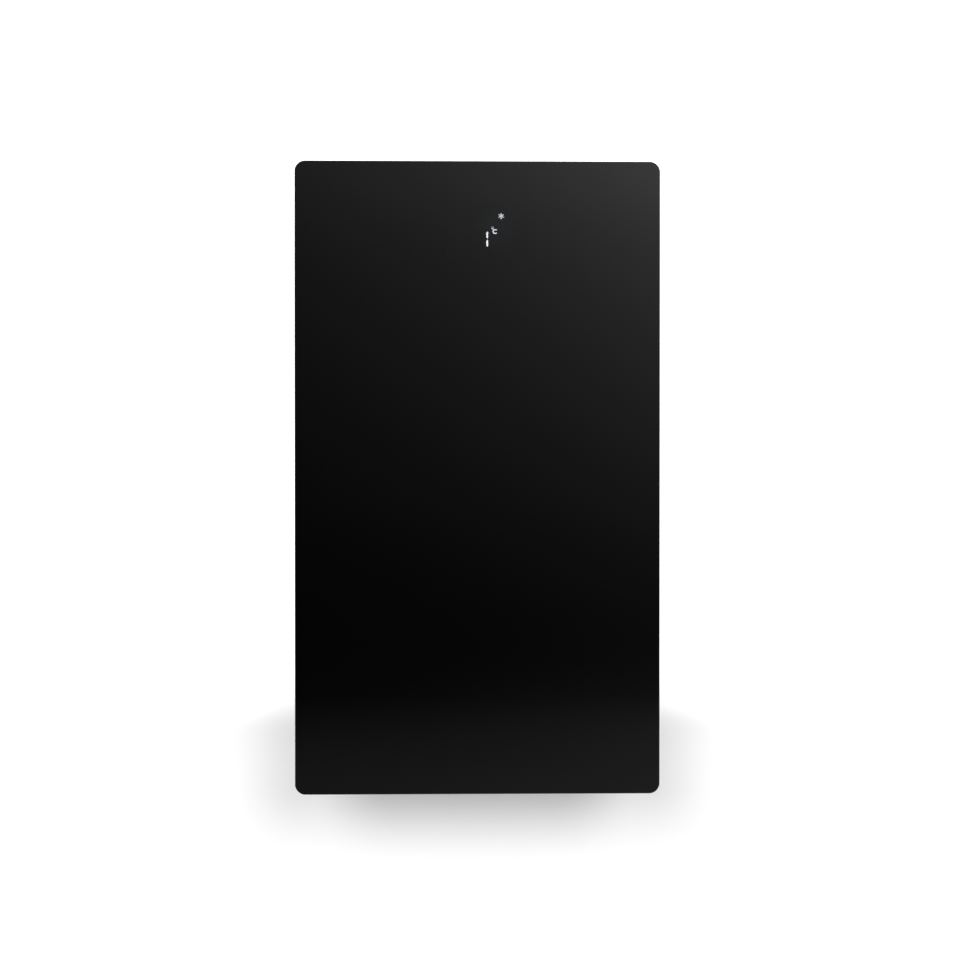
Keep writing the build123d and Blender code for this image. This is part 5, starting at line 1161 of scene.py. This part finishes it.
# ---- Stage ----
# What the glass mirrors, going up: a place from 0 to 1 over slopes from -SLOPES to SLOPES, and its tone.
# A ray's slope is its rise over its way ahead, which counts as LEAST_AHEAD at least.
SLOPES, LEAST_AHEAD = 0.6, 0.05
MIRRORED = ((0.0, 0.42), (0.2, 0.30), (0.356, 0.075), (0.375, 0.085), (0.393, 0.052), (0.412, 0.036),
            (0.45, 0.052), (0.487, 0.09), (0.525, 0.14), (0.562, 0.205), (0.60, 0.30), (0.637, 0.46),
            (0.75, 0.80), (1.0, 0.9))
# The tone is multiplied by GROWTH to the power of GROWTH_RATE times the slope to the right, from LEAST
# to MOST.
GROWTH, GROWTH_RATE, LEAST, MOST = 2.718, 6.1, 0.35, 2.2
# Light from below, for the lowest part of the glass: the slopes where it starts and is full, its tone.
LOW_START, LOW_FULL, LOW_TONE = -0.128, -0.185, 0.13
# To the sides and behind, one tone takes over: the y of a ray where it starts and is full, its tone.
BEHIND_START, BEHIND_FULL, BEHIND_TONE = -0.75, -0.2, 0.8


def studio_world():
    """White to the camera, an even fill, and soft bright and dark areas for reflections."""
    settings = setting("studio")
    world = bpy.data.worlds.new("Studio")
    world.use_nodes = True
    tree = world.node_tree
    tree.nodes.clear()
    way = put(tree, "SeparateXYZ", {0: put(tree, "TexCoord").outputs["Generated"]}).outputs
    ahead = maths(tree, "MAXIMUM", maths(tree, "MULTIPLY", way["Y"], -1.0), LEAST_AHEAD)
    right = maths(tree, "DIVIDE", way["X"], ahead)
    rise = maths(tree, "DIVIDE", way["Z"], ahead)
    ramp = put(tree, "FloatCurve", {"Value": mapped(tree, rise, -SLOPES, SLOPES)})
    points = ramp.mapping.curves[0].points
    points[0].location = MIRRORED[0]
    points[1].location = MIRRORED[-1]
    for tone in MIRRORED[1:-1]:
        points.new(*tone)
    ramp.mapping.update()
    side = maths(tree, "POWER", GROWTH, maths(tree, "MULTIPLY", right, GROWTH_RATE))
    side = maths(tree, "MINIMUM", maths(tree, "MAXIMUM", side, LEAST), MOST)
    front = maths(tree, "MULTIPLY", ramp.outputs[0], side)
    low = mapped(tree, rise, LOW_START, LOW_FULL, 0.0, LOW_TONE, interpolation_type="SMOOTHSTEP")
    front = maths(tree, "MULTIPLY", maths(tree, "ADD", front, low), settings.mirror_level)
    glossy = mixed(tree, mapped(tree, way["Y"], BEHIND_START, BEHIND_FULL), front, BEHIND_TONE)
    path = put(tree, "LightPath").outputs
    fill = mixed(tree, path["Is Glossy Ray"], settings.fill, glossy)
    shown = mixed(tree, path["Is Camera Ray"], fill, 1.0)
    sky = put(tree, "Background", {"Color": (1, 1, 1, 1), "Strength": shown})
    put(tree, "OutputWorld", {"Surface": sky.outputs[0]})
    bpy.context.scene.world = world


def camera_only(tree, surface):
    """The surface as the camera sees its front, and nothing at all otherwise."""
    back = put(tree, "NewGeometry").outputs["Backfacing"]
    camera = put(tree, "LightPath").outputs["Is Camera Ray"]
    seen = maths(tree, "MULTIPLY", camera, maths(tree, "SUBTRACT", 1.0, back))
    clear = put(tree, "BsdfTransparent").outputs[0]
    mix = put(tree, "MixShader", {0: seen, 1: clear, 2: surface})
    put(tree, "OutputMaterial", {"Surface": mix.outputs[0]})


def backdrop(name, corners, glow):
    """A sheet that the camera alone sees. Glow is a function that takes its tree and its height."""
    material = bpy.data.materials.new(name.title() + " paint")
    material.use_nodes = True
    tree = material.node_tree
    tree.nodes.clear()
    height = put(tree, "SeparateXYZ", {0: object_place(tree)}).outputs["Z"]
    light = put(tree, "Emission", {"Strength": glow(tree, height)})
    paint = put(tree, "BsdfDiffuse", {"Color": (0.88, 0.88, 0.88, 1)})
    both = put(tree, "AddShader", {0: light.outputs[0], 1: paint.outputs[0]})
    camera_only(tree, both.outputs[0])
    mesh = bpy.data.meshes.new(name)
    mesh.from_pydata(corners, [], [(0, 1, 2, 3)])
    return add_piece(name, mesh, material)


class BATTERY_OT_stage(bpy.types.Operator):
    """Make the wall, the floor, the lights and the camera"""
    bl_idname = "battery.stage"
    bl_label = "Stage"

    reach, wall_y = 6.0, 2 * MM
    # The wall's glow is painted light: weak near the bottom, where the real shadow shows, and full higher up,
    # where it brightens the wall to white and hides the shadow there.
    wall_tones, floor_tone = (0.27, 1.0), 0.6
    fade = (50 * MM, 145 * MM)

    def execute(self, context):
        settings = setting("studio")
        studio_world()
        reach, wall_y, low = self.reach, self.wall_y, settings.floor_z
        start, end = (glass_low.z + height for height in self.fade)

        # Painted light on the wall, weaker towards the bottom over the fade's heights.
        def wall_painted_light(tree, height):
            return mapped(tree, height, start, end, *self.wall_tones, interpolation_type="SMOOTHSTEP")

        wall = backdrop("wall", [(-reach, wall_y, low), (reach, wall_y, low), (reach, wall_y, reach),
                                 (-reach, wall_y, reach)], wall_painted_light)
        floor = backdrop("floor", [(-reach, -reach, low), (reach, -reach, low), (reach, wall_y, low),
                                   (-reach, wall_y, low)], lambda tree, height: self.floor_tone)
        for side, hand in (("left", -1), ("right", 1)):
            lamp = bpy.data.lights.new("Soft light " + side, "SUN")
            lamp.energy = settings.sun / 2
            lamp.angle = settings.softness
            sun = add_piece("Soft light " + side, lamp)
            sun.rotation_euler = (pi / 2 - settings.sun_height, 0, hand * settings.sun_spread)
            sun.visible_glossy = False
            sun.visible_transmission = False
        lens = bpy.data.cameras.new("Camera")
        lens.lens = lens.sensor_width * settings.distance / settings.view_width
        camera = add_piece("Camera", lens)
        swing, lift = settings.swing, settings.lift
        away = Vector((-sin(swing) * cos(lift), -cos(swing) * cos(lift), sin(lift)))
        glass_front = Vector((glass_middle.x, glass_low.y, glass_middle.z))
        camera.location = glass_front + away * settings.distance
        target = glass_front + Vector((settings.aim_right, 0, -settings.aim_down))
        camera.rotation_euler = (target - camera.location).to_track_quat("-Z", "Y").to_euler()
        context.scene.camera = camera
        context.scene.view_settings.view_transform = "Standard"
        return {"FINISHED"}


class BATTERY_PT_pieces(bpy.types.Panel):
    """The pieces of the battery, in the order they are made"""
    bl_idname = "BATTERY_PT_pieces"
    bl_label = "Wall Battery Unit"
    bl_space_type = "VIEW_3D"
    bl_region_type = "UI"
    bl_category = "Battery"

    def draw(self, context):
        for group, kind in SETTINGS:
            box = self.layout.box()
            for name in kind.__annotations__:
                box.prop(setting(group), name)
        for operator in OPERATORS:
            self.layout.operator(operator.bl_idname)


OPERATORS = (BATTERY_OT_stage, BATTERY_OT_finishes, BATTERY_OT_glass, BATTERY_OT_display, BATTERY_OT_screws,
             BATTERY_OT_brackets, BATTERY_OT_handles, BATTERY_OT_glands, BATTERY_OT_isolator,
             BATTERY_OT_button, BATTERY_OT_sockets, BATTERY_OT_earth)


def register():
    for group, kind in SETTINGS:
        bpy.utils.register_class(kind)
        setattr(bpy.types.Scene, "battery_" + group, PointerProperty(type=kind))
    for operator in OPERATORS:
        bpy.utils.register_class(operator)
    bpy.utils.register_class(BATTERY_PT_pieces)


def unregister():
    bpy.utils.unregister_class(BATTERY_PT_pieces)
    for operator in reversed(OPERATORS):
        bpy.utils.unregister_class(operator)
    for group, kind in reversed(SETTINGS):
        delattr(bpy.types.Scene, "battery_" + group)
        bpy.utils.unregister_class(kind)


def main():
    register()
    for operator in OPERATORS:
        section, name = operator.bl_idname.split(".")
        getattr(getattr(bpy.ops, section), name)()


if __name__ == "__main__":
    main()
